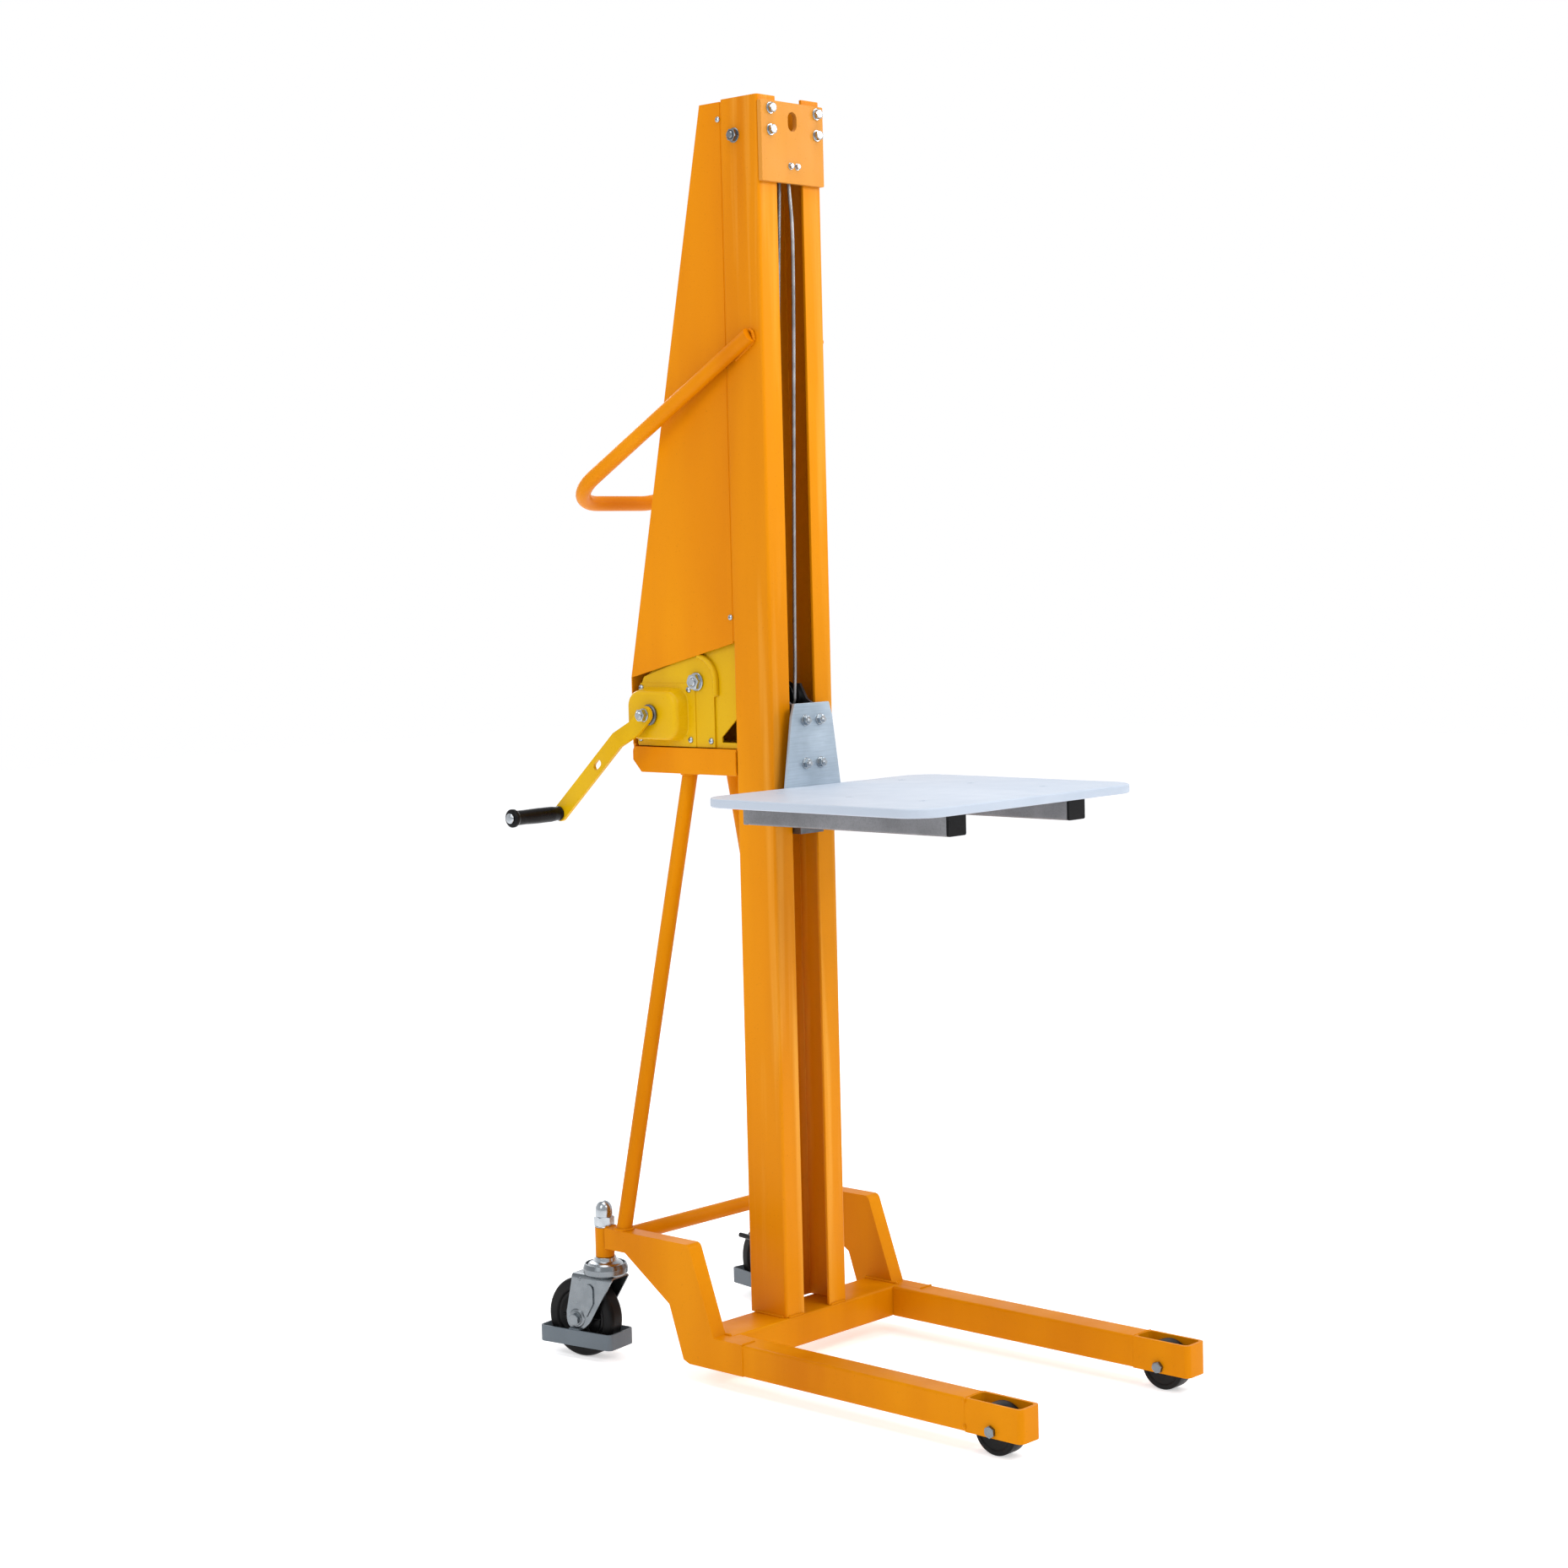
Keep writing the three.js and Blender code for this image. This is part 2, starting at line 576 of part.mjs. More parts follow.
piece('winch_frame', winchFrame(), YELLOW);
piece('winch_gear_cover', gearCover(), YELLOW);
piece('rope_drum', ropeDrum(), STEEL);
piece('crank_shaft', pinionShaft(), ZINC);
piece('crank_arm', crankArm(), YELLOW);
piece('crank_grip', crankGrip(), BLACK_PLASTIC);

// ---------------------------------------------------------------- carriage and platform
function carriagePlate() {
  const outline = [
    [-64, 868], [64, 868], [64, 926], [47, 1036], [40, 1057], [-40, 1057], [-47, 1036], [-64, 926],
  ];
  return prism('y', outline, -20.5, -14.5);
}

/** Channel behind the carriage plate with the welded stub axles of its four rollers. */
function carriageFrame() {
  const cheek = [
    [-14.5, 850], [52, 850], [60, 858], [60, 1076], [50, 1086], [26, 1086], [12, 1062], [-14.5, 1046],
  ];
  const bore = disc(CARRIAGE_SHEAVE.y, CARRIAGE_SHEAVE.z, 7 + GAP, 16);
  const cheeks = [[22, 27], [-27, -22]].map(([a, b]) => prism('x', cheek, a, b, [bore]));
  const web = box([-27, 27], [-14.5, -8.5], [850, 1046]);
  const stubs = [ROLLER.high, ROLLER.low].flatMap((z) => [
    bar('x', ROLLER.y, z, 10, 25, 63.5, 16),
    bar('x', ROLLER.y, z, 10, -63.5, -25, 16),
    bar('x', ROLLER.y, z, 14, 26, 33.4),
    bar('x', ROLLER.y, z, 14, -33.4, -26),
  ]);
  return join(web, ...cheeks, ...stubs);
}

function carriageSheavePin() {
  const { y, z } = CARRIAGE_SHEAVE;
  return join(
    bar('x', y, z, 7, -31, 31),
    bar('x', y, z, 10.5, 27.2, 30.5),
    bar('x', y, z, 10.5, -30.5, -27.2),
    bar('x', y, z, 10, 7.8, 21.8),
    bar('x', y, z, 10, -21.8, -7.8),
  );
}

function roller(z) {
  const { y, radius, inner, outer } = ROLLER;
  return turned('x', y, z, ringProfile(10 + GAP, [
    [radius - 2, inner], [radius, inner + 2], [radius, outer - 2], [radius - 2, outer],
  ]), 24);
}

const FORK_TUBE = { inner: 123, outer: 164, low: 877, high: 912, front: -426, back: -30.2 };

function platformTube() {
  const { inner, outer, low, high, front, back } = FORK_TUBE;
  const hollow = roundedBox([inner + 3, outer - 3], [low + 3, high - 3], 1.5, 1);
  return prism('y', roundedBox([inner, outer], [low, high], 3, 3), front, back, [hollow]);
}

/** Plastic plug in the front end of a platform tube. */
function tubeCap() {
  const { inner, outer, low, high, front } = FORK_TUBE;
  const face = prism('y', roundedBox([inner, outer], [low, high], 3), front - 4, front);
  const plug = box([inner + 4, outer - 4], [front - 1, front + 12], [low + 4, high - 4]);
  return join(face, plug);
}

function platformTop() {
  const { half, front, back, low, high, corner } = PLATFORM;
  return prism('z', roundedBox([-half, half], [front, back], corner, 7), low, high);
}

piece('carriage_plate', carriagePlate(), PALE_PLATE);
piece('carriage_frame', carriageFrame(), STEEL);
piece('carriage_sheave_pin', carriageSheavePin(), ZINC);
piece('carriage_sheave', sheave(CARRIAGE_SHEAVE, 0, 7.5), BLACK_PLASTIC);
pair('upper_roller', roller(ROLLER.high), STEEL);
pair('lower_roller', roller(ROLLER.low), STEEL);
piece('platform_cross_bar', box([-164, 164], [-30.2, -20.5], [FORK_TUBE.low, FORK_TUBE.high]), GREY_PAINT);
pair('platform_tube', platformTube(), GREY_PAINT);
pair('platform_tube_cap', tubeCap(), BLACK_PLASTIC);
piece('platform_top', platformTop(), PALE_TOP);

// ---------------------------------------------------------------- hoist rope
/** Where a straight rope leaves one round and meets the next: each radius is signed by its +Y or -Y side. */
function tangent(from, fromSide, to, toSide) {
  const [dy, dz] = [to.y - from.y, to.z - from.z];
  const run = Math.hypot(dy, dz);
  const angle = Math.atan2(dz, dy) - Math.sign(dz) * Math.acos((fromSide - toSide) / run);
  const [ny, nz] = [Math.cos(angle), Math.sin(angle)];
  return [
    at(0, from.y + fromSide * ny, from.z + fromSide * nz),
    at(0, to.y + toSide * ny, to.z + toSide * nz),
  ];
}

function ropeOverTop() {
  const [leave, arrive] = tangent(DRUM, -DRUM.rope, TOP_SHEAVE, TOP_SHEAVE.rope);
  const [depart] = tangent(TOP_SHEAVE, -TOP_SHEAVE.rope, CARRIAGE_SHEAVE, CARRIAGE_SHEAVE.rope);
  const angleOf = (point) => Math.atan2(point.z - TOP_SHEAVE.z, point.y - TOP_SHEAVE.y);
  const [first, last] = [angleOf(arrive), (angleOf(depart) + 2 * Math.PI) % (2 * Math.PI)];
  const line = [leave];
  for (let i = 0; i <= 12; i += 1) {
    const angle = first + ((last - first) * i) / 12;
    const [y, z] = [TOP_SHEAVE.rope * Math.cos(angle), TOP_SHEAVE.rope * Math.sin(angle)];
    line.push(at(0, TOP_SHEAVE.y + y, TOP_SHEAVE.z + z));
  }
  return pipe(line, ROPE_RADIUS, 0, 8);
}

function ropeRearFall() {
  const [top, foot] = tangent(TOP_SHEAVE, -TOP_SHEAVE.rope, CARRIAGE_SHEAVE, CARRIAGE_SHEAVE.rope);
  const gap = foot.clone().sub(top).normalize().multiplyScalar(2 * GAP);
  return pipe([top.add(gap), foot], ROPE_RADIUS, 0, 8);
}

function ropeFrontFall() {
  const foot = at(0, CARRIAGE_SHEAVE.y - CARRIAGE_SHEAVE.rope, CARRIAGE_SHEAVE.z);
  return pipe([foot, at(0, ANCHOR.y, ANCHOR.z)], ROPE_RADIUS, 0, 8);
}

piece('rope_winch_run', ropeOverTop(), ROPE_FINISH);
piece('rope_rear_fall', ropeRearFall(), ROPE_FINISH);
piece('rope_front_fall', ropeFrontFall(), ROPE_FINISH);

// ---------------------------------------------------------------- swivel casters
/** Stem with the fixed upper half of the swivel race, on the axis of the sleeve. */
function casterStem() {
  return turned('z', CASTER.x, CASTER.y, [
    [0, 152.6], [30, 152.6], [30, 156], [18, 161], [18, 167.7], [9, 167.7], [9, 242], [0, 242],
  ], 20);
}

/** Dome nut and washer that pull the stem up into the sleeve. */
function stemNut() {
  const { x, y } = CASTER;
  const washer = bar('z', x, y, 15.6, 216, 219, 20);
  const flats = hex('z', x, y, 27, 219, 234);
  const dome = turned('z', x, y, [
    [0, 230], [13.4, 230], [13.8, 241], [11.6, 249], [6.5, 255], [0, 257],
  ], 20);
  return cut(join(washer, flats, dome), bar('z', x, y, 9 + 2 * GAP, 210, 243, 12));
}

/** Swivelling fork: race bowl, cap plate, two tapered cheeks and the wheel bolt. */
function casterFork() {
  const { radius, trail } = CASTER;
  const bowl = turned('z', 0, 0, [
    [0, 138], [33, 138], [36, 141.5], [36, 152], [34, 157], [31.6, 157.5], [31.6, 151.5], [0, 151.5],
  ], 24);
  const cap = prism('z', rounded([[-24, -30, 10], [24, -30, 10], [24, 60, 6], [-24, 60, 6]]), 134, 138.5);
  const cheek = rounded([
    [-30, 138.5], [-30, 129, 3], [22, 66], [30, 46, 9], [60, 46, 9], [62, 72], [58, 124], [60, 138.5],
  ]);
  const cheeks = [[21, 24], [-24, -21]].map(([a, b]) => prism('x', cheek, a, b));
  return join(
    bowl,
    cap,
    ...cheeks,
    bar('x', trail, radius, 6, -31, 31),
    bar('x', trail, radius, 14, 23.5, 25.5, 16),
    bar('x', trail, radius, 14, -25.5, -23.5, 16),
    hex('x', trail, radius, 19, 25, 32),
    hex('x', trail, radius, 19, -32, -25),
  );
}

function casterWheel() {
  const { radius, width, trail } = CASTER;
  const half = width / 2;
  return turned('x', trail, radius, ringProfile(6.5, [
    [17, -19.5], [19, -10], [44, -10], [48, -half], [radius - 5, -half], [radius, -half + 6],
    [radius, half - 6], [radius - 5, half], [48, half], [44, 10], [19, 10], [17, 19.5],
  ]), 28);
}

/** Strap that runs right round the wheel close to the floor, with a lug on each fork cheek. */
function footGuard() {
  const outer = rounded([[-32, -30, 9], [32, -30, 9], [32, 116, 9], [-32, 116, 9]]);
  const inner = rounded([[-29, -27, 6], [29, -27, 6], [29, 113, 6], [-29, 113, 6]]);
  const lugs = [[24.1, 30], [-30, -24.1]].map(([a, b]) => box([a, b], [36, 56], [30, 49]));
  return join(prism('z', outer, 21, 47, [inner]), ...lugs);
}

const PEDAL_PIVOT = { x: -29.5, z: 109 };

/** Foot brake: a paddle hinged along the inner cheek of the fork, to be trodden down towards the floor. */
function brakePedal() {
  const { x, z } = PEDAL_PIVOT;
  const hub = bar('y', x, z, 4.6, 8, 48);
  const paddle = rounded([
    [x + 1, z - 4], [x - 20, z + 3], [x - 37, z + 10, 3.5], [x - 38, z + 19, 3.5],
    [x - 18, z + 12], [x - 1, z + 4.4],
  ]);
  return join(hub, prism('y', paddle, 10, 46));
}

/** Swings a caster piece to its trailing angle and carries it out to the left sleeve. */
function trailing(body) {
  return body.rotate([0, 0, -CASTER.yaw]).translate([CASTER.x, CASTER.y, 0]);
}

pair('caster_fork', trailing(casterFork()), ZINC);
pair('caster_wheel', trailing(casterWheel()), TYRE);
pair('foot_guard', trailing(footGuard()), SLATE);
pair('brake_pedal', trailing(brakePedal()), BLACK_PLASTIC);
pair('caster_stem', casterStem(), ZINC);
pair('stem_nut', stemNut(), ZINC);

export default group;
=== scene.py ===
"""Looks of the hand winch platform stacker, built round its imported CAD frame.

Shapes are drawn in millimetres in the design frame: y counts back from the mast's front face, so the
forks point towards -y, and z counts up from the floor. piece() carries them into the frame's metres.
"""
from math import acos, atan2, copysign, cos, pi, radians, sin, sqrt, tan

import bmesh
import bpy
from mathutils import Matrix, Vector, noise
from mathutils.geometry import tessellate_polygon


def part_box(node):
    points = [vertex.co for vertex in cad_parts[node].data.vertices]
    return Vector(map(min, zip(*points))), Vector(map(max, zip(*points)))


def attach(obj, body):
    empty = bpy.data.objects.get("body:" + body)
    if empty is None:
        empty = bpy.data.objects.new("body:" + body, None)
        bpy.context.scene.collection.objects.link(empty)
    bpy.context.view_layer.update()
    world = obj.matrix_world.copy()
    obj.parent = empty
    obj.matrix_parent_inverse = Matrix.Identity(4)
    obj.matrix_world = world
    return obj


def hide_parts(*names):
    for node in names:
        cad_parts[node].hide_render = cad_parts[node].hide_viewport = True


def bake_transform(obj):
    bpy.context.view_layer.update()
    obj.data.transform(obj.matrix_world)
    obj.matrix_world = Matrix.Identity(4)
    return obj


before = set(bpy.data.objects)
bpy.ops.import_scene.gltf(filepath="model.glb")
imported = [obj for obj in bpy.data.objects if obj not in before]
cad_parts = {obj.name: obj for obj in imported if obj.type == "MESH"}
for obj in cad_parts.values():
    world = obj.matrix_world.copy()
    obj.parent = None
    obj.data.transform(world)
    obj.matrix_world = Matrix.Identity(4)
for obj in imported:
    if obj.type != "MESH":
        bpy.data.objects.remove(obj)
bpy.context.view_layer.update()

MM = 0.001
MAST_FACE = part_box("left_upright")[0].y
DESIGN = Matrix.Translation((0, MAST_FACE, 0)) @ Matrix.Scale(MM, 4)
SIDES = {"left": 1, "right": -1}
X, Y, Z = Vector((1, 0, 0)), Vector((0, 1, 0)), Vector((0, 0, 1))

MAST = {"half": 72, "depth": 80, "slot": 30, "foot": 78}
BEAM = {"front": -4, "back": 72}
LEG = {"inner": 182, "outer": 228, "top": 78, "seam": -491, "shoulder": -50}
NECK = {"inner": 199.5, "outer": 227.5, "low": 184, "top": 218}
CROSS_TUBE = {"y": 228, "z": 205}
LOAD_WHEEL = {"x": 205, "y": -538.5, "radius": 37.5, "half": 15}
TOP_SHEAVE = {"y": 50, "z": 1942, "rope": 30}
CARRIAGE_SHEAVE = {"y": 37, "z": 1066, "rope": 20}
ROPE = 3
DRUM = {"y": 168, "z": 1091, "rope": 35, "core": 31.5}
CRANK = {"y": 250, "z": 1038, "radius": 250, "droop": radians(41.5)}
GEAR = {"module": 5, "drum": 24, "pinion": 15, "near": -50, "far": -38}
HANDLE = {
    "x": 78.3, "y": 21.3, "z": 1632, "fall": radians(33), "length": 456, "splay": 0.1, "bend": 66,
}
TUBE = 12.5
SHELF_LOW = 942
STRUT = {"top": (50, 205, SHELF_LOW), "foot": (213.5, 220, NECK["top"])}
CASTER = {"x": 213.8, "y": 266, "yaw": radians(9), "radius": 65, "half": 16, "trail": 43}
ROLLER = {"x": 48, "y": 40, "radius": 34, "half": 14, "upper": 1010, "lower": 890}
PLATFORM = {"half": 265, "front": -465, "back": -20.5, "low": 912, "high": 926, "corner": 50}


# ---- camera, light and floor
def camera():
    """Camera where the photograph was taken from, with its turn, roll and lens."""
    azimuth, elevation, roll = (radians(angle) for angle in (-47.0673, 4.4701, -1.41497))
    place = Vector((-3.28258, -3.00953 + MAST_FACE, 1.27606))
    back = Vector((
        sin(azimuth) * cos(elevation),
        -cos(azimuth) * cos(elevation),
        sin(elevation),
    ))
    right = (-back).cross(Z).normalized()
    up = right.cross(-back)
    rolled_right = right * cos(roll) + up * sin(roll)
    rolled_up = up * cos(roll) - right * sin(roll)
    data = bpy.data.cameras.new("photo_camera")
    data.sensor_width = 36
    data.lens = 64.573
    data.clip_end = 60
    eye = bpy.data.objects.new("photo_camera", data)
    turn = Matrix((rolled_right, rolled_up, back)).transposed().to_4x4()
    eye.matrix_world = Matrix.Translation(place) @ turn
    bpy.context.scene.collection.objects.link(eye)
    bpy.context.scene.camera = eye


def area_light(name, place, aim, size, power):
    data = bpy.data.lights.new(name, "AREA")
    data.shape = "RECTANGLE"
    data.size, data.size_y = size
    data.energy = power
    lamp = bpy.data.objects.new(name, data)
    lamp.location = place
    lamp.rotation_euler = (Vector(aim) - Vector(place)).to_track_quat("-Z", "Y").to_euler()
    bpy.context.scene.collection.objects.link(lamp)


def add_node(tree, kind, values=None, links=None):
    """A shader node in a tree, with plain values on some inputs and links into others."""
    node = tree.nodes.new(f"ShaderNode{kind}")
    for socket, value in (values or {}).items():
        node.inputs[socket].default_value = value
    for socket, output in (links or {}).items():
        tree.links.new(output, node.inputs[socket])
    return node


def add_ramp(tree, value, stops):
    """Colour ramp over a value; stops are position and colour."""
    node = add_node(tree, "ValToRGB", links={"Fac": value})
    spots = node.color_ramp.elements
    spots[0].position, spots[1].position = stops[0][0], stops[-1][0]
    spots[0].color, spots[1].color = (*stops[0][1], 1), (*stops[-1][1], 1)
    for position, colour in stops[1:-1]:
        spots.new(position).color = (*colour, 1)
    return node.outputs["Color"]


def studio():
    """White sweep behind the stacker, a dimmer room behind the camera, and soft lamps."""
    world = bpy.data.worlds.new("studio")
    bpy.context.scene.world = world
    world.use_nodes = True
    tree = world.node_tree
    tree.nodes["Background"].inputs["Strength"].default_value = 1.0
    way = add_node(tree, "TexCoord").outputs["Generated"]
    height = add_node(tree, "SeparateXYZ", links={0: way}).outputs["Z"]
    sweep_white = add_ramp(tree, height, [(0.36, (1.0, 1.0, 1.02)), (0.8, (0.42, 0.43, 0.45))])
    facing = add_node(tree, "VectorMath", {1: (0.73, 0.68, 0.0)}, {0: way})
    facing.operation = "DOT_PRODUCT"
    spread = {"From Min": -0.45, "From Max": 0.35}
    share = add_node(tree, "MapRange", spread, {"Value": facing.outputs["Value"]})
    room = add_node(tree, "Mix")
    room.data_type = "RGBA"
    room.inputs["A"].default_value = (0.7, 0.71, 0.73, 1)
    tree.links.new(share.outputs["Result"], room.inputs["Factor"])
    tree.links.new(sweep_white, room.inputs["B"])
    tree.links.new(room.outputs["Result"], tree.nodes["Background"].inputs["Color"])
    area_light("key", (0.4, -3.6, 3.7), (0, 0, 1.5), (2.2, 1.8), 84)
    area_light("side_fill", (-3.4, 0.2, 2.7), (0, 0.1, 1.4), (1.5, 2.0), 26)
    area_light("overhead", (0, -0.15, 4.6), (0, -0.1, 0), (3.0, 3.0), 85)
    area_light("front_glare", (2.6, -2.1, 2.75), (0, 0, 1.85), (0.7, 0.7), 22)
    area_light("rear_rim", (1.8, 3.6, 2.6), (0, 0.2, 1.1), (1.6, 2.4), 40)
    bpy.context.scene.view_settings.view_transform = "Standard"


def floor():
    mesh = bpy.data.meshes.new("floor")
    reach = 14
    corners = [(-reach, -reach, 0), (reach, -reach, 0), (reach, reach, 0), (-reach, reach, 0)]
    mesh.from_pydata(corners, [], [(0, 1, 2, 3)])
    sheet = bpy.data.objects.new("floor", mesh)
    bpy.context.scene.collection.objects.link(sheet)
    pale = bpy.data.materials.new("pale_floor")
    pale.use_nodes = True
    shader = pale.node_tree.nodes["Principled BSDF"]
    shader.inputs["Base Color"].default_value = (0.82, 0.82, 0.83, 1)
    shader.inputs["Emission Color"].default_value = (1, 1, 1, 1)
    shader.inputs["Emission Strength"].default_value = 0.5
    shader.inputs["Roughness"].default_value = 0.9
    shader.inputs["Specular IOR Level"].default_value = 0.1
    mesh.materials.append(pale)


# ---- materials
def linear(*chart):
    """Linear colour from the eight-bit values that a paint chart gives."""
    return tuple(c / 255 / 12.92 if c <= 10 else ((c / 255 + 0.055) / 1.055) ** 2.4 for c in chart)


class Surface:
    """A Principled material whose colour, roughness and bump come from noise in the piece's own space."""

    def __init__(self, name, metallic=0.0, specular=0.5):
        self.material = bpy.data.materials.new(name)
        self.material.use_nodes = True
        self.tree = self.material.node_tree
        self.shader = self.tree.nodes["Principled BSDF"]
        self.shader.inputs["Metallic"].default_value = metallic
        self.shader.inputs["Specular IOR Level"].default_value = specular
        self.coords = add_node(self.tree, "TexCoord").outputs["Object"]
        self.bump = None

    def noise(self, scale, stretch=(1, 1, 1), detail=3.0, distortion=0.0):
        place = add_node(self.tree, "Mapping", {"Scale": stretch}, {"Vector": self.coords})
        values = {"Scale": scale, "Detail": detail, "Distortion": distortion}
        grain = add_node(self.tree, "TexNoise", values, {"Vector": place.outputs["Vector"]})
        return grain.outputs["Fac"]

    def ramp(self, value, stops):
        return add_ramp(self.tree, value, stops)

    def span(self, value, low, high, to_low, to_high):
        values = {"From Min": low, "From Max": high, "To Min": to_low, "To Max": to_high}
        return add_node(self.tree, "MapRange", values, {"Value": value}).outputs["Result"]

    def mix(self, share, first, second):
        """Colour between two others; the second may be a plain colour."""
        node = add_node(self.tree, "Mix")
        node.data_type = "RGBA"
        self.tree.links.new(share, node.inputs["Factor"])
        self.tree.links.new(first, node.inputs["A"])
        if isinstance(second, tuple):
            node.inputs["B"].default_value = (*second, 1)
        else:
            self.tree.links.new(second, node.inputs["B"])
        return node.outputs["Result"]

    def colour(self, output):
        self.tree.links.new(output, self.shader.inputs["Base Color"])

    def roughness(self, output):
        self.tree.links.new(output, self.shader.inputs["Roughness"])

    def emboss(self, height, depth):
        """Adds a bump layer; depth is in millimetres."""
        node = add_node(self.tree, "Bump", {"Strength": 1.0, "Distance": depth * MM}, {"Height": height})
        if self.bump:
            self.tree.links.new(self.bump, node.inputs["Normal"])
        self.bump = node.outputs["Normal"]
        self.tree.links.new(self.bump, self.shader.inputs["Normal"])


def painted(name, *shades, roughness=0.35, specular=0.08, peel=0.10, streaks=None):
    """Sprayed enamel: long soft runs, orange peel, a few specks, dull patches and perhaps pale streaks."""
    deep, base, pale = (linear(*shade) for shade in shades)
    look = Surface(name, specular=specular)
    runs = look.noise(5.5, (1.0, 1.0, 0.12), 4.0, 0.25)
    cloud = look.noise(2.6, (1, 1, 1), 2.0)
    body = look.ramp(runs, [(0.30, deep), (0.5, base), (0.72, pale)])
    body = look.mix(look.span(cloud, 0.35, 0.7, 0.0, 0.55), body, base)
    if streaks:
        lines = look.noise(34, (1, 1, 0.035), 4.0, 0.25)
        tint = look.mix(look.noise(1.1, (1, 1, 1), 1.0), body, linear(*streaks))
        body = look.mix(look.span(lines, 0.52, 0.68, 0.0, 0.5), body, tint)
    specks = look.noise(420, detail=1.0)
    body = look.mix(look.span(specks, 0.70, 0.78, 0.0, 0.35), body, tuple(c * 0.55 for c in deep))
    look.colour(body)
    look.roughness(look.span(look.noise(16, detail=5.0), 0.3, 0.7, roughness - 0.06, roughness + 0.1))
    look.emboss(look.noise(260, detail=2.0), peel)
    look.emboss(look.noise(26, (1, 1, 0.4), 2.0), 0.35)
    return look.material


def plated(name, dark, bright, roughness, grain):
    """Bright zinc or steel: cloudy sheen with fine spangle and rubbing marks."""
    look = Surface(name, metallic=1.0)
    cloud = look.noise(38, detail=3.0, distortion=0.2)
    look.colour(look.ramp(cloud, [(0.3, dark), (0.7, bright)]))
    rubbing = look.noise(90, (1, 1, 0.4), 3.0)
    look.roughness(look.span(rubbing, 0.25, 0.75, roughness - 0.05, roughness + 0.08))
    look.emboss(look.noise(600, detail=2.0), grain)
    return look.material


def moulded(name, dark, pale, roughness, pitch=520, depth=0.06, dust=0.0):
    """Moulded plastic or rubber: fine texture, scuffs and a little dust."""
    look = Surface(name, specular=0.14)
    scuff = look.noise(34, detail=6.0, distortion=0.8)
    body = look.ramp(scuff, [(0.3, linear(*dark)), (0.72, linear(*pale))])
    if dust:
        settled = look.span(look.noise(11, detail=5.0), 0.45, 0.75, 0.0, dust)
        body = look.mix(settled, body, linear(140, 134, 126))
    look.colour(body)
    look.roughness(look.span(scuff, 0.3, 0.7, roughness - 0.07, roughness + 0.1))
    look.emboss(look.noise(pitch, detail=2.0), depth)
    return look.material


def laminate(name):
    """Platform laminate: pale and satin, with faint smears and hair scratches."""
    look = Surface(name, specular=0.22)
    smear = look.noise(5, (1.0, 0.4, 1.0), 5.0, 1.2)
    shades = ((0.3, (170, 180, 193)), (0.6, (177, 186, 198)), (0.8, (184, 191, 201)))
    body = look.ramp(smear, [(position, linear(*shade)) for position, shade in shades])
    scratch = look.noise(95, (0.06, 1.0, 1.0), 6.0, 0.3)
    look.colour(look.mix(look.span(scratch, 0.7, 0.78, 0.0, 0.12), body, linear(190, 200, 212)))
    look.roughness(look.span(look.noise(22, detail=3.0), 0.3, 0.7, 0.4, 0.5))
    look.emboss(scratch, 0.02)
    return look.material


def brushed(name, dark, bright):
    """Sheet metal with a satin brush and cloudy tint."""
    dark, bright = linear(*dark), linear(*bright)
    look = Surface(name, metallic=0.75)
    lines = look.noise(420, (0.05, 1.0, 1.0), 5.0)
    cloud = look.noise(14, detail=4.0)
    body = look.ramp(cloud, [(0.3, dark), (0.7, bright)])
    look.colour(look.mix(look.span(lines, 0.4, 0.7, 0.0, 0.25), body, tuple(c * 0.7 for c in dark)))
    look.roughness(look.span(lines, 0.3, 0.7, 0.34, 0.5))
    look.emboss(lines, 0.03)
    return look.material


FINISHES = {
    "orange_paint": painted("orange_enamel", (195, 109, 0), (210, 126, 0), (222, 141, 2)),
    # Darker copy of the orange enamel for the base frame: painted shade standing in for the dimmer light low
    # down.
    "orange_shaded_base": painted(
        "base_enamel_painted_shade", (188, 106, 0), (203, 123, 0), (216, 138, 2), roughness=0.36, specular=0.05,
    ),
    "orange_mast": painted(
        "mast_enamel", (196, 112, 0), (212, 130, 2), (224, 144, 6), streaks=(246, 196, 96),
    ),
    # Paler, greyer copy of the orange enamel for the top plate: painted glare.
    "orange_painted_glare": painted("plate_enamel_painted_glare", (192, 124, 40), (204, 137, 54), (214, 149, 70)),
    "yellow_paint": painted(
        "yellow_enamel", (188, 141, 0), (205, 158, 2), (218, 174, 8), roughness=0.3, specular=0.16,
    ),
    "zinc_plate": plated("bright_zinc", (0.37, 0.40, 0.425), (0.46, 0.49, 0.515), 0.22, 0.006),
    "dull_zinc": plated("dull_zinc", (0.17, 0.19, 0.205), (0.22, 0.24, 0.255), 0.27, 0.006),
    "plain_steel": plated("turned_steel", (0.10, 0.10, 0.105), (0.20, 0.20, 0.205), 0.42, 0.06),
    "pale_plate": brushed("pale_sheet", (158, 172, 184), (188, 202, 214)),
    "grey_paint": brushed("grey_sheet", (112, 112, 114), (142, 142, 144)),
    "slate_paint": painted(
        "slate_enamel", (80, 88, 95), (93, 102, 109), (110, 119, 126), roughness=0.42, specular=0.3,
    ),
    "black_plastic": moulded("black_moulding", (4, 4, 5), (13, 13, 14), 0.3),
    "tyre_black": moulded("black_tread", (3, 3, 4), (11, 11, 12), 0.42, 300, 0.1, 0.03),
    "platform_white": laminate("white_laminate"),
    "wire_rope": plated("wire_rope", (0.22, 0.22, 0.225), (0.42, 0.42, 0.425), 0.42, 0.05),
}


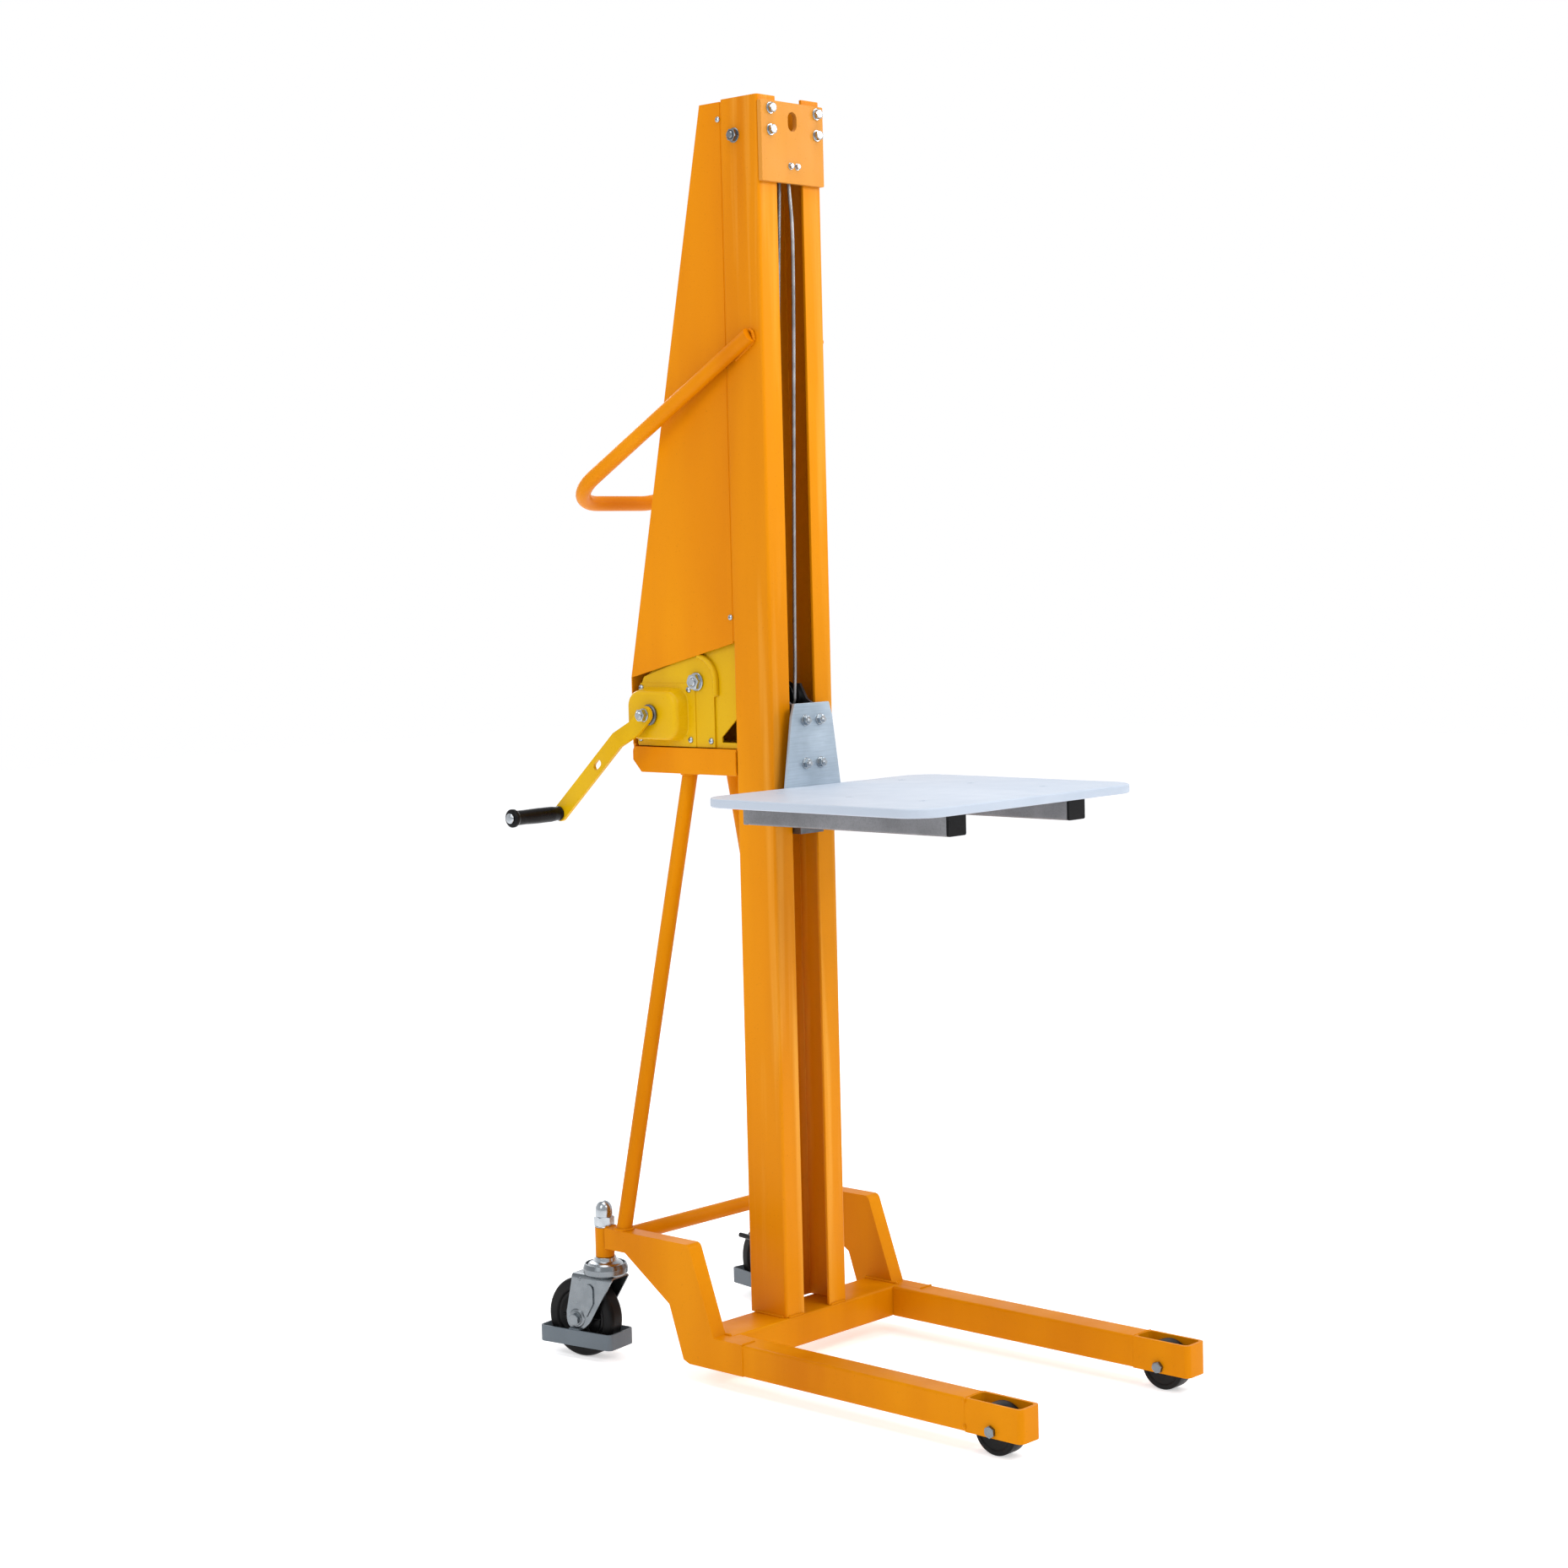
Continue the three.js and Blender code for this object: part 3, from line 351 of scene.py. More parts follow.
# ---- mesh building
def piece(name, bm, finish, body, covers=(), place=DESIGN, crease=34):
    """A shaded object out of a mesh drawn in millimetres; with no body it stays loose for a blend."""
    bm.transform(place)
    bmesh.ops.recalc_face_normals(bm, faces=bm.faces[:])
    mesh = bpy.data.meshes.new(name)
    bm.to_mesh(mesh)
    bm.free()
    mesh.materials.append(FINISHES[finish])
    mesh.shade_smooth()
    mesh.set_sharp_from_angle(angle=radians(crease))
    shown = bpy.data.objects.new(name, mesh)
    bpy.context.scene.collection.objects.link(shown)
    if covers:
        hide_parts(*covers)
    if body:
        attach(shown, body)
    return shown


def even_normals(shown):
    """Keeps broad faces flat-looking beside their rounded edges."""
    shown.modifiers.new("even_normals", "WEIGHTED_NORMAL").keep_sharp = True
    return shown


def soften(bm, width, segments=2, turn=35):
    """Rounds every edge that turns by more than the given angle."""
    bmesh.ops.dissolve_limit(bm, angle_limit=radians(0.5), verts=bm.verts[:], edges=bm.edges[:])
    bm.normal_update()
    sharp = [e for e in bm.edges if e.is_manifold and e.calc_face_angle(0.0) > radians(turn)]
    bmesh.ops.bevel(
        bm, geom=sharp, offset=width, offset_type="OFFSET", segments=segments, profile=0.5,
        affect="EDGES", clamp_overlap=True,
    )


def node_mesh(node):
    """A CAD node's own mesh, in millimetres, with its corners joined up."""
    bm = bmesh.new()
    bm.from_mesh(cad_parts[node].data)
    bm.transform(DESIGN.inverted())
    bmesh.ops.remove_doubles(bm, verts=bm.verts[:], dist=0.003)
    return bm


def softened(node, finish, body, width=0.8, segments=2):
    """The CAD node's own shape with its edges rounded, shown in its place."""
    bm = node_mesh(node)
    soften(bm, width, segments)
    return even_normals(piece(f"{node}_shape", bm, finish, body, [node]))


def rounded(corners, steps=6, closed=True):
    """Outline with rounded corners: each corner is u, v and an optional radius."""
    outline = []
    count = len(corners)
    for i, corner in enumerate(corners):
        here = Vector(corner[:2])
        radius = corner[2] if len(corner) > 2 else 0
        if not radius or (not closed and i in (0, count - 1)):
            outline.append(tuple(here))
            continue
        back = (Vector(corners[i - 1][:2]) - here).normalized()
        on = (Vector(corners[(i + 1) % count][:2]) - here).normalized()
        half = back.angle(on) / 2
        centre = here + (back + on).normalized() * radius / sin(half)
        start = here + back * radius / tan(half) - centre
        end = here + on * radius / tan(half) - centre
        first = atan2(start.y, start.x)
        sweep = (atan2(end.y, end.x) - first + pi) % (2 * pi) - pi
        for k in range(steps + 1):
            angle = first + sweep * k / steps
            outline.append((centre.x + radius * cos(angle), centre.y + radius * sin(angle)))
    return outline


def rounded_box(u, v, radius, steps=6):
    corners = ((u[0], v[0]), (u[1], v[0]), (u[1], v[1]), (u[0], v[1]))
    return rounded([(*corner, radius) for corner in corners], steps)


def circle(u, v, radius, sides=40):
    angles = [2 * pi * i / sides for i in range(sides)]
    return [(u + radius * cos(angle), v + radius * sin(angle)) for angle in angles]


def both_ways(half):
    """A turned profile and its mirror image; each row is radius, station and an optional corner radius."""
    return [(radius, -station, *rest) for radius, station, *rest in half] + half[::-1]


def bridge(bm, first, second):
    """Faces between two rings of vertices; a ring of one vertex closes to a point."""
    count = max(len(first), len(second))
    for i in range(count):
        j = (i + 1) % count
        if len(first) == 1:
            bm.faces.new((first[0], second[j], second[i]))
        elif len(second) == 1:
            bm.faces.new((first[i], first[j], second[0]))
        else:
            bm.faces.new((first[i], first[j], second[j], second[i]))


def ring_line(centre, axis, radius, count=48):
    """Points round a circle about an axis."""
    axis = Vector(axis).normalized()
    side = axis.orthogonal().normalized()
    other = axis.cross(side)
    return [Vector(centre) + side * u + other * v for u, v in circle(0, 0, radius, count)]


def turn_round(bm, origin, axis, profile, sides=48, closed=False):
    """Adds a solid of revolution; the profile lists radius and station along the axis."""
    axis = Vector(axis).normalized()
    rings = []
    for radius, station in profile:
        centre = Vector(origin) + axis * station
        ring = ring_line(centre, axis, radius, sides) if radius else [centre]
        rings.append([bm.verts.new(spot) for spot in ring])
    for first, second in zip(rings, rings[1:]):
        bridge(bm, first, second)
    if closed:
        bridge(bm, rings[-1], rings[0])


def slab(bm, axis, outline, low, high, holes=(), edge=0.6, segments=2):
    """Adds a flat plate: an outline with holes, carried along x or z, with its edges rounded."""
    spots = {"x": lambda u, v, w: (w, u, v), "z": lambda u, v, w: (u, v, w)}[axis]
    own = bmesh.new()
    loops = [outline, *holes]
    faces = tessellate_polygon([[Vector((u, v, 0)) for u, v in loop] for loop in loops])
    flat = [point for loop in loops for point in loop]
    layers = [[own.verts.new(spots(u, v, w)) for u, v in flat] for w in (low, high)]
    for layer in layers:
        for a, b, c in faces:
            own.faces.new((layer[a], layer[b], layer[c]))
    start = 0
    for loop in loops:
        count = len(loop)
        rings = [layer[start:start + count] for layer in layers]
        bridge(own, *rings)
        start += count
    bmesh.ops.recalc_face_normals(own, faces=own.faces[:])
    if edge:
        soften(own, edge, segments)
    add(bm, own)


def add(bm, other):
    """Moves the geometry of one mesh into another."""
    mesh = bpy.data.meshes.new("part")
    other.to_mesh(mesh)
    other.free()
    bm.from_mesh(mesh)
    bpy.data.meshes.remove(mesh)


def sweep(bm, line, section, closed=False):
    """Carries a section along a line of points; section(i) lists its u, v for that point."""
    count = len(line)
    along = []
    for i in range(count):
        after = line[(i + 1) % count] if closed else line[min(i + 1, count - 1)]
        before = line[i - 1] if closed or i else line[0]
        along.append((after - before).normalized())
    side = along[0].orthogonal().normalized()
    rings = []
    for i in range(count):
        side = (side - along[i] * side.dot(along[i])).normalized()
        other = along[i].cross(side)
        rings.append([bm.verts.new(line[i] + side * u + other * v) for u, v in section(i)])
    for first, second in zip(rings, rings[1:]):
        bridge(bm, first, second)
    if closed:
        bridge(bm, rings[-1], rings[0])
    else:
        bm.faces.new(rings[0])
        bm.faces.new(rings[-1][::-1])
    return rings


def bent(corners, radius, steps=14):
    """Points along a bent line whose inner corners are rounded to a radius."""
    line = [corners[0]]
    for before, here, after in zip(corners, corners[1:], corners[2:]):
        into, out = (here - before).normalized(), (after - here).normalized()
        turn = into.angle(out)
        start = here - into * radius * tan(turn / 2)
        side = (out - into * out.dot(into)).normalized()
        for k in range(steps + 1):
            angle = turn * k / steps
            line.append(start + into * radius * sin(angle) + side * radius * (1 - cos(angle)))
    line.append(corners[-1])
    return line


def bead(bm, line, radius, closed=False):
    """Adds a weld bead: overlapping ripples along a line, a little uneven."""
    ripple_pitch, spacing = 3.2, 0.8
    fine = []
    for first, second in zip(line, line[1:] + line[:1] if closed else line[1:]):
        steps = max(1, round((second - first).length / spacing))
        fine += [first.lerp(second, k / steps) for k in range(steps)]
    if not closed:
        fine.append(line[-1])
    total = len(fine)

    def section(i):
        ripple = 0.84 + 0.16 * abs(sin(pi * i * spacing / ripple_pitch))
        uneven = 1 + 0.14 * noise.noise(fine[i] * 0.12)
        taper = 1 if closed else min(1, 0.35 + i / 4, 0.35 + (total - 1 - i) / 4)
        return circle(0, 0, radius * ripple * uneven * taper, 10)

    sweep(bm, fine, section, closed)


def hex_head(bm, origin, axis, across, height, turn=0.2, dish=0.25):
    """Adds a hexagon head or nut with chamfered corners."""
    axis = Vector(axis).normalized()
    side = axis.orthogonal().normalized()
    other = axis.cross(side)
    sides, flat = 48, across / 2
    rings = [[], [], [], [], []]
    for i in range(sides):
        angle = 2 * pi * i / sides
        reach = flat / cos((angle + pi / 6) % (pi / 3) - pi / 6)
        ray = side * cos(angle + turn) + other * sin(angle + turn)
        chamfer = (reach - flat * 0.97) * 0.6
        stations = [
            (reach, 0), (reach, height - chamfer), (flat * 0.95, height), (flat * 0.7, height),
            (flat * 0.66, height - dish),
        ]
        for ring, (radius, station) in zip(rings, stations):
            ring.append(bm.verts.new(Vector(origin) + ray * radius + axis * station))
    bm.faces.new(rings[0])
    for first, second in zip(rings, rings[1:]):
        bridge(bm, first, second)
    bm.faces.new(rings[-1][::-1])


def washer(bm, origin, axis, radius, thick):
    lip = thick * 0.35
    turn_round(bm, origin, axis, [
        (0, 0), (radius - lip, 0), (radius, lip), (radius, thick - lip), (radius - lip, thick), (0, thick),
    ], 36)


def stud(bm, origin, axis, radius, length):
    """Adds a threaded end: ridges along it and a chamfered tip."""
    pitch = 1.25
    profile = [(0, 0)]
    turns = max(1, int((length - 1) / pitch))
    for i in range(turns):
        profile += [(radius, i * pitch), (radius, (i + 0.25) * pitch), (radius * 0.88, (i + 0.62) * pitch)]
    profile += [(radius, turns * pitch), (radius * 0.8, length), (0, length)]
    turn_round(bm, origin, axis, profile, 28)


def pan_head(bm, origin, axis, radius, height):
    """Adds a low domed screw head with a round socket."""
    dome = [(0, 0), (radius, 0), (radius, height * 0.3)]
    dome += [(radius * cos(a), height * (0.3 + 0.7 * sin(a))) for a in (0.35, 0.7, 1.05)]
    dome += [(radius * 0.36, height * 0.98), (radius * 0.3, height * 0.45), (0, height * 0.4)]
    turn_round(bm, origin, axis, dome, 24)


def mirrored(side):
    """Place of a piece drawn on the left, carried to the given side."""
    return DESIGN @ Matrix.Diagonal((side, 1, 1, 1))


# ---- base frame
def load_wheel(name, side):
    x, y, radius, half = LOAD_WHEEL["x"], LOAD_WHEEL["y"], LOAD_WHEEL["radius"], LOAD_WHEEL["half"]
    bm = bmesh.new()
    profile = rounded(both_ways([
        (6.4, half), (13, half), (14.5, half - 1.6), (radius - 9, half - 1.6), (radius - 7, half, 0.6),
        (radius, half, 3.2),
    ]), 5)
    turn_round(bm, (x, y, radius), X, profile, 64, closed=True)
    node = f"{name}_load_wheel"
    piece(f"{node}_tread", bm, "tyre_black", node, [node], mirrored(side))


def load_axle(name, side):
    y, radius = LOAD_WHEEL["y"], LOAD_WHEEL["radius"]
    bm = bmesh.new()
    turn_round(bm, (0, y, radius), X, [(0, 176), (5.4, 176), (6, 177), (6, 230), (0, 230)], 28)
    hex_head(bm, (LEG["outer"], y, radius), X, 16, 5)
    hex_head(bm, (LEG["inner"], y, radius), -X, 16, 6, 0.5)
    piece(f"{name}_load_bolt", bm, "dull_zinc", "frame", [f"{name}_load_axle"], mirrored(side))


def cut_tube(bm, foot, top, low, high, radius):
    """Adds a straight round tube whose ends are cut level, at two heights."""
    foot, top = Vector(foot), Vector(top)
    along = (top - foot).normalized()
    rings = sweep(bm, [foot, foot.lerp(top, 0.5), top], lambda i: circle(0, 0, radius, 40))
    for ring, level in ((rings[0], low), (rings[-1], high)):
        for vert in ring:
            vert.co += along * ((level - vert.co.z) / along.z)


def base_frame():
    # The base frame pieces wear the darker enamel, which paints in shade.
    softened("crossbeam", "orange_shaded_base", "frame", 0.7)
    for name, side in SIDES.items():
        softened(f"{name}_leg", "orange_shaded_base", "frame", 0.7)
        softened(f"{name}_fork_tip", "orange_shaded_base", "frame", 0.9)
        softened(f"{name}_gooseneck", "orange_shaded_base", "frame", 2.6, 3)
        softened(f"{name}_caster_sleeve", "orange_shaded_base", "frame", 0.8)
        load_wheel(name, side)
        load_axle(name, side)
        bm = bmesh.new()
        cut_tube(bm, STRUT["foot"], STRUT["top"], STRUT["foot"][2], STRUT["top"][2], TUBE)
        piece(f"{name}_strut_tube", bm, "orange_shaded_base", "frame", [f"{name}_strut"], mirrored(side))
    bm = bmesh.new()
    half = NECK["inner"]
    bar = [(0, -half), (TUBE, -half), (TUBE, half), (0, half)]
    turn_round(bm, (0, CROSS_TUBE["y"], CROSS_TUBE["z"]), X, bar, 40)
    piece("rear_cross_tube_bar", bm, "orange_shaded_base", "frame", ["rear_cross_tube"])


def base_welds():
    """Beads where the base frame's pieces meet."""
    inner, outer, shoulder, top = NECK["inner"], NECK["outer"], LEG["shoulder"], LEG["top"]
    front, back, seam, edge = BEAM["front"] - 0.5, BEAM["back"] + 0.4, LEG["seam"], LEG["outer"] + 0.2
    foot = MAST["foot"] + 0.8
    straight = [
        (((inner - 1, shoulder, top + 0.4), (outer, shoulder, top + 0.4)), 2.0),
        (((outer + 0.2, shoulder, top - 1), (outer + 0.2, shoulder, 29)), 1.9),
        (((inner - 0.4, front, top - 2), (inner - 0.4, front, 32)), 2.8),
        ([(inner - 0.4, y, top + 0.5) for y in (0, 10, BEAM["back"])], 2.8),
        (((inner - 0.4, back, top - 2), (inner - 0.4, back, 32)), 2.2),
        (((edge, seam, top + 0.3), (edge, seam, top - 7.5)), 3.2),
        (((edge, seam, 40), (edge, seam, 32)), 3.2),
        (((LEG["inner"] + 3, seam, top + 0.2), (LEG["outer"] - 3, seam, top + 0.2)), 0.9),
        (((MAST["slot"] + 2, -0.6, foot), (MAST["half"] - 4, -0.6, foot)), 2.2),
        (((MAST["half"] + 0.6, 6, foot), (MAST["half"] + 0.6, 70, foot)), 2.4),
    ]
    for z in (NECK["top"] + 0.2, NECK["low"] - 0.2):
        sleeve = ((inner + 2, 252.6, z), (inner + 5, 251.4, z), (outer - 5, 251.4, z), (outer - 2, 252.6, z))
        straight.append((sleeve, 1.6))
    round_joints = [
        ((*STRUT["foot"][:2], NECK["top"] + 1), Z, 1.4, 2.6),
        ((*STRUT["top"][:2], SHELF_LOW - 1), Z, 1.4, 2.5),
        ((inner - 0.6, CROSS_TUBE["y"], CROSS_TUBE["z"]), X, 1.0, 2.4),
    ]
    bm = bmesh.new()
    for side in SIDES.values():
        for line, radius in straight:
            bead(bm, [Vector((side * x, y, z)) for x, y, z in line], radius)
        for (x, y, z), axis, clear, radius in round_joints:
            bead(bm, ring_line((side * x, y, z), axis, TUBE + clear), radius, closed=True)
    # The beads wear the darker base enamel too: painted shade.
    piece("base_welds", bm, "orange_shaded_base", "frame")


# ---- mast
def grooved_wheel(spot):
    """Rope sheave with a round groove."""
    bore, half, round_off = 7.4, 7.5, ROPE + 0.6
    rim, groove_floor = spot["rope"] + 4, spot["rope"] - ROPE - 1.8
    groove = [
        (groove_floor + round_off * (1 - cos(angle)), round_off * sin(angle))
        for angle in (radians(degrees) for degrees in (80, 50, 25))
    ]
    flank = [(bore, half), (rim - 2, half), (rim - 0.4, half - 0.3), (rim, half - 1.2), *groove]
    profile = [(radius, -station) for radius, station in flank] + [(groove_floor, 0)] + flank[::-1]
    bm = bmesh.new()
    turn_round(bm, (0, spot["y"], spot["z"]), X, profile, 56, closed=True)
    return bm


def mast():
    for name in SIDES:
        softened(f"{name}_upright", "orange_mast", "frame", 0.7)
    # The top plate wears the paler enamel, which paints in glare.
    softened("top_plate", "orange_painted_glare", "frame", 0.9)
    softened("rope_anchor", "zinc_plate", "frame", 0.8)
    piece("top_sheave_wheel", grooved_wheel(TOP_SHEAVE), "plain_steel", "top_sheave", ["top_sheave"])
    bm = bmesh.new()
    y, z, half = TOP_SHEAVE["y"], TOP_SHEAVE["z"], MAST["half"]
    turn_round(bm, (0, y, z), X, [
        (0, -half - 8), (7, -half - 8), (7, -66.5), (10, -66.5), (10, -7.8), (7, -7.8),
        (7, 7.8), (10, 7.8), (10, 66.5), (7, 66.5), (7, half + 6), (0, half + 6),
    ], 32)
    washer(bm, (-half, y, z), -X, 11.5, 1.6)
    hex_head(bm, (-half - 1.5, y, z), -X, 17.5, 6.5, 0.1)
    stud(bm, (-half - 7, y, z), -X, 5.6, 4)
    washer(bm, (half, y, z), X, 11.5, 1.6)
    hex_head(bm, (half + 1.5, y, z), X, 17.5, 6.2, 0.4)
    piece("top_sheave_bolt", bm, "dull_zinc", "frame", ["top_sheave_axle"])


def mast_fasteners():
    """Bolts of the top plate, its two anchor screws, and the screws of the guard."""
    bm = bmesh.new()
    face = -8
    for x in (-50, 56):
        for z, turn in ((1979, 0.1), (1946, 0.6)):
            washer(bm, (x, face, z), -Y, 9, 1.5)
            hex_head(bm, (x, face - 1.4, z), -Y, 13.5, 6.2, turn + x * 0.01)
    anchor = 1893.5
    for x in (-6, 9):
        washer(bm, (x, face, anchor), -Y, 5.4, 0.9)
        hex_head(bm, (x, face - 0.8, anchor), -Y, 8, 3.6, 0.3 + x)
    for side in (-1, 1):
        for z in (1970, 1194):
            pan_head(bm, (side * MAST["half"], 84, z), X * side, 4.6, 2.8)
    piece("mast_fasteners", bm, "zinc_plate", "frame")


# ---- guard, shelf and push handle
def handle_line():
    down, back = sin(HANDLE["fall"]), cos(HANDLE["fall"])

    def spot(side, v):
        x = HANDLE["x"] + HANDLE["splay"] * v
        return Vector((side * x, HANDLE["y"] + v * back, HANDLE["z"] - v * down))

    length = HANDLE["length"]
    return bent([spot(-1, 0), spot(-1, length), spot(1, length), spot(1, 0)], HANDLE["bend"])


def guard_hems():
    """Turned edges of the guard beside the mast, and the strip along its foot."""
    bm = bmesh.new()
    for low, high in ((69.6, 71.1), (-71.1, -69.6)):
        slab(bm, "x", [(75.2, 1157), (81, 1155), (81, 1996), (75.2, 1996)], low, high, edge=0)
    slab(bm, "x", [(309, 977), (313.2, 978.4), (313.2, 989), (309, 989)], -71, 71, edge=0)
    piece("guard_hems", bm, "orange_paint", "frame")


def push_handle():
    face = MAST["half"] + 0.2
    line = handle_line()
    bm = bmesh.new()
    sweep(bm, line, lambda i: circle(0, 0, TUBE, 40))
    for vert in bm.verts:
        if abs(vert.co.x) < face and vert.co.y < MAST["depth"]:
            vert.co.x = copysign(face, vert.co.x)
    piece("push_handle_tube", bm, "orange_paint", "frame", ["push_handle"])


def handle_welds():
    """Beads round the ends of the push handle, and where the shelf meets the mast."""
    y, z, half = HANDLE["y"], HANDLE["z"], MAST["half"]
    along = Vector((0, cos(HANDLE["fall"]), -sin(HANDLE["fall"]))) * 50
    bm = bmesh.new()
    for side in (-1, 1):
        high = Vector((side * (half + 1), y + 5.4, z + 9.6))
        nose = Vector((side * (half + 3), y - 3, z + 5))
        low = Vector((side * (half + 1), y - 5.4, z - 9.6))
        bead(bm, [high, high + along], 2.6)
        bead(bm, [low, low + along], 2.6)
        bead(bm, [high, nose, low], 3.0)
        shelf = [Vector((side * (half + 0.6), 81.2, level)) for level in (SHELF_LOW + 4, SHELF_LOW + 38)]
        bead(bm, shelf, 2.0)
    piece("handle_welds", bm, "orange_paint", "frame")


def guard_and_handle():
    softened("rope_guard", "orange_paint", "frame", 0.5)
    softened("winch_shelf", "orange_paint", "frame", 0.7)
    guard_hems()
    push_handle()
    handle_welds()


# ---- winch
def gear_outline(y, z, teeth, phase):
    """Spur gear outline with tapered teeth."""
    pitch = GEAR["module"] * teeth / 2
    step = 2 * pi / teeth
    flank = [(-0.25, -5.4), (-0.19, -2), (-0.12, 3.2), (-0.09, 3.7)]
    tooth = flank + [(-share, reach) for share, reach in flank[::-1]]
    outline = []
    for i in range(teeth):
        for share, reach in tooth:
            angle = phase + (i + share) * step
            outline.append((y + (pitch + reach) * cos(angle), z + (pitch + reach) * sin(angle)))
    return outline


MESH_ANGLE = atan2(CRANK["z"] - DRUM["z"], CRANK["y"] - DRUM["y"])


def rope_drum():
    y, z, core = DRUM["y"], DRUM["z"], DRUM["core"]
    bm = bmesh.new()
    turn_round(bm, (0, y, z), X, both_ways([
        (0, 30), (49, 30), (50, 29), (50, 28), (49, 27.2), (core + 1, 26.4), (core, 25.4),
    ]), 64)
    shaft = [(0, -76), (10, -76), (10, -52), (16, -52), (16, -28), (10, -28), (10, 72), (0, 72)]
    turn_round(bm, (0, y, z), X, shaft, 36)
    slab(bm, "x", gear_outline(y, z, GEAR["drum"], MESH_ANGLE), GEAR["near"], GEAR["far"], edge=0.4)
    piece("rope_drum_spool", bm, "plain_steel", "rope_drum", ["rope_drum"])
    bm = bmesh.new()
    washer(bm, (-67.6, y, z), -X, 15, 2.4)
    hex_head(bm, (-69.8, y, z), -X, 23, 8.2, 0.35)
    stud(bm, (-77.4, y, z), -X, 6.5, 2.6)
    hex_head(bm, (63.6, y, z), X, 23, 7.4, 0.1)
    piece("rope_drum_nuts", bm, "zinc_plate", "rope_drum")


def drum_coil():
    """Rope wound on the drum, from its clamp to where the run leaves."""
    leave, _ = tangent(DRUM, -DRUM["rope"], TOP_SHEAVE, TOP_SHEAVE["rope"])
    last = bearing(leave, DRUM)
    turns, pitch, per_turn = 3.6, 6.3, 40
    count = int(turns * per_turn)
    line = []
    for i in range(count + 1):
        remaining = (count - i) / per_turn
        angle = last - 2 * pi * remaining
        line.append(Vector((
            -pitch * remaining,
            DRUM["y"] + DRUM["rope"] * cos(angle),
            DRUM["z"] + DRUM["rope"] * sin(angle),
        )))
    rope_piece("drum_rope_coil", line, "rope_drum")


def crank_shaft():
    y, z = CRANK["y"], CRANK["z"]
    bm = bmesh.new()
    phase = MESH_ANGLE + pi + pi / GEAR["pinion"]
    turn_round(bm, (0, y, z), X, [(0, -101.7), (10, -101.7), (10, 63.5), (9, 64.5), (0, 64.5)], 36)
    slab(bm, "x", gear_outline(y, z, GEAR["pinion"], phase), GEAR["near"] - 2, GEAR["far"] + 2, edge=0.4)
    hex_head(bm, (63.4, y, z), X, 23, 5.4)
    collar = [(0, 0), (16.4, 0), (17, 0.8), (17, 3), (15.6, 4.2), (13, 4.6), (12.4, 7.2), (0, 7.2)]
    turn_round(bm, (-94.4, y, z), -X, collar, 40)
    piece("crank_shaft_pinion", bm, "plain_steel", "crank", ["crank_shaft"])
    bm = bmesh.new()
    turn_round(bm, (-101, y, z), -X, [(0, 0), (8, 0), (8, 11), (0, 11)], 28)
    washer(bm, (-108.2, y, z), -X, 11, 2)
    hex_head(bm, (-110.0, y, z), -X, 18.5, 8.8, 0.3)
    stud(bm, (-118.4, y, z), -X, 6.4, 4.4)
    piece("crank_hub_bolt", bm, "zinc_plate", "crank")


def crank_handle():
    strip_face = -127.4
    bm = node_mesh("crank_arm")
    whole = bm.verts[:] + bm.edges[:] + bm.faces[:]
    bmesh.ops.bisect_plane(
        bm, geom=whole, plane_co=(strip_face, 0, 0), plane_no=(-1, 0, 0), clear_outer=True,
    )
    bmesh.ops.holes_fill(bm, edges=[e for e in bm.edges if e.is_boundary])
    soften(bm, 0.8)
    even_normals(piece("crank_arm_strip", bm, "yellow_paint", "crank", ["crank_arm"]))
    y = CRANK["y"] + CRANK["radius"] * cos(CRANK["droop"])
    z = CRANK["z"] - CRANK["radius"] * sin(CRANK["droop"])
    bm = bmesh.new()
    turn_round(bm, (-126, y, z), -X, [
        (0, 0), (8, 0), (8, 1), (5, 1.4), (5, 109.4), (8.6, 109.4), (8.6, 111), (8, 112.4),
        (6.6, 113.4), (3.4, 114), (0, 114),
    ], 36)
    piece("crank_grip_pin", bm, "zinc_plate", "crank")
    bm = bmesh.new()
    profile = rounded([
        (5.4, -235, 0.3), (12.6, -235, 1.4), (15.2, -233.4, 1.6), (15.2, -228.6, 2), (12.3, -223.6, 3),
        (12.2, -205, 20), (12.9, -180, 40), (12.7, -146, 30), (11.2, -133, 6), (12.2, -130, 1),
        (11.6, strip_face, 0.8), (5.4, strip_face),
    ], 5)
    turn_round(bm, (0, y, z), X, profile, 56, closed=True)
    piece("crank_grip_sleeve", bm, "black_plastic", "crank_grip", ["crank_grip"], crease=50)


def gear_cover():
    """Pressed cover: arched base sheet with a raised rim, a side flange and a domed pocket over the gears."""
    y, z = DRUM["y"], DRUM["z"]
    low, bore, rim_reach = 985.6, 11.2, 41.4
    arch = [(y + u, z + v) for u, v in circle(0, 0, 46, 80)[20:41]]
    outline = rounded([
        *arch, (y - 46, 1069, 1), (131, 1067, 2), (131, low), (306, low, 3), (306, 1066, 6), (290, 1098, 6),
    ])
    crank_bore = circle(CRANK["y"], CRANK["z"], bore)
    bm = bmesh.new()
    slab(bm, "x", outline, -66.3, -63.3, [circle(y, z, bore), crank_bore], edge=0.7)
    flange = rounded([
        (172, low, 2), (306, low, 3), (306, 1066, 6), (297, 1088, 5), (186, 1088, 5), (172, 1076, 4),
    ])
    slab(bm, "x", flange, -67.6, -66.2, [crank_bore], edge=0.5)
    rim = [Vector((-66.6, y + u, z + v)) for u, v in circle(0, 0, rim_reach, 90)[24:46]]
    rim.append(Vector((-66.6, y - rim_reach, 1070)))
    sweep(bm, rim, lambda i: circle(0, 0, 4.5, 24))
    even_normals(piece("winch_cover_sheet", bm, "yellow_paint", "frame", ["winch_gear_cover"]))
    gear_pocket()


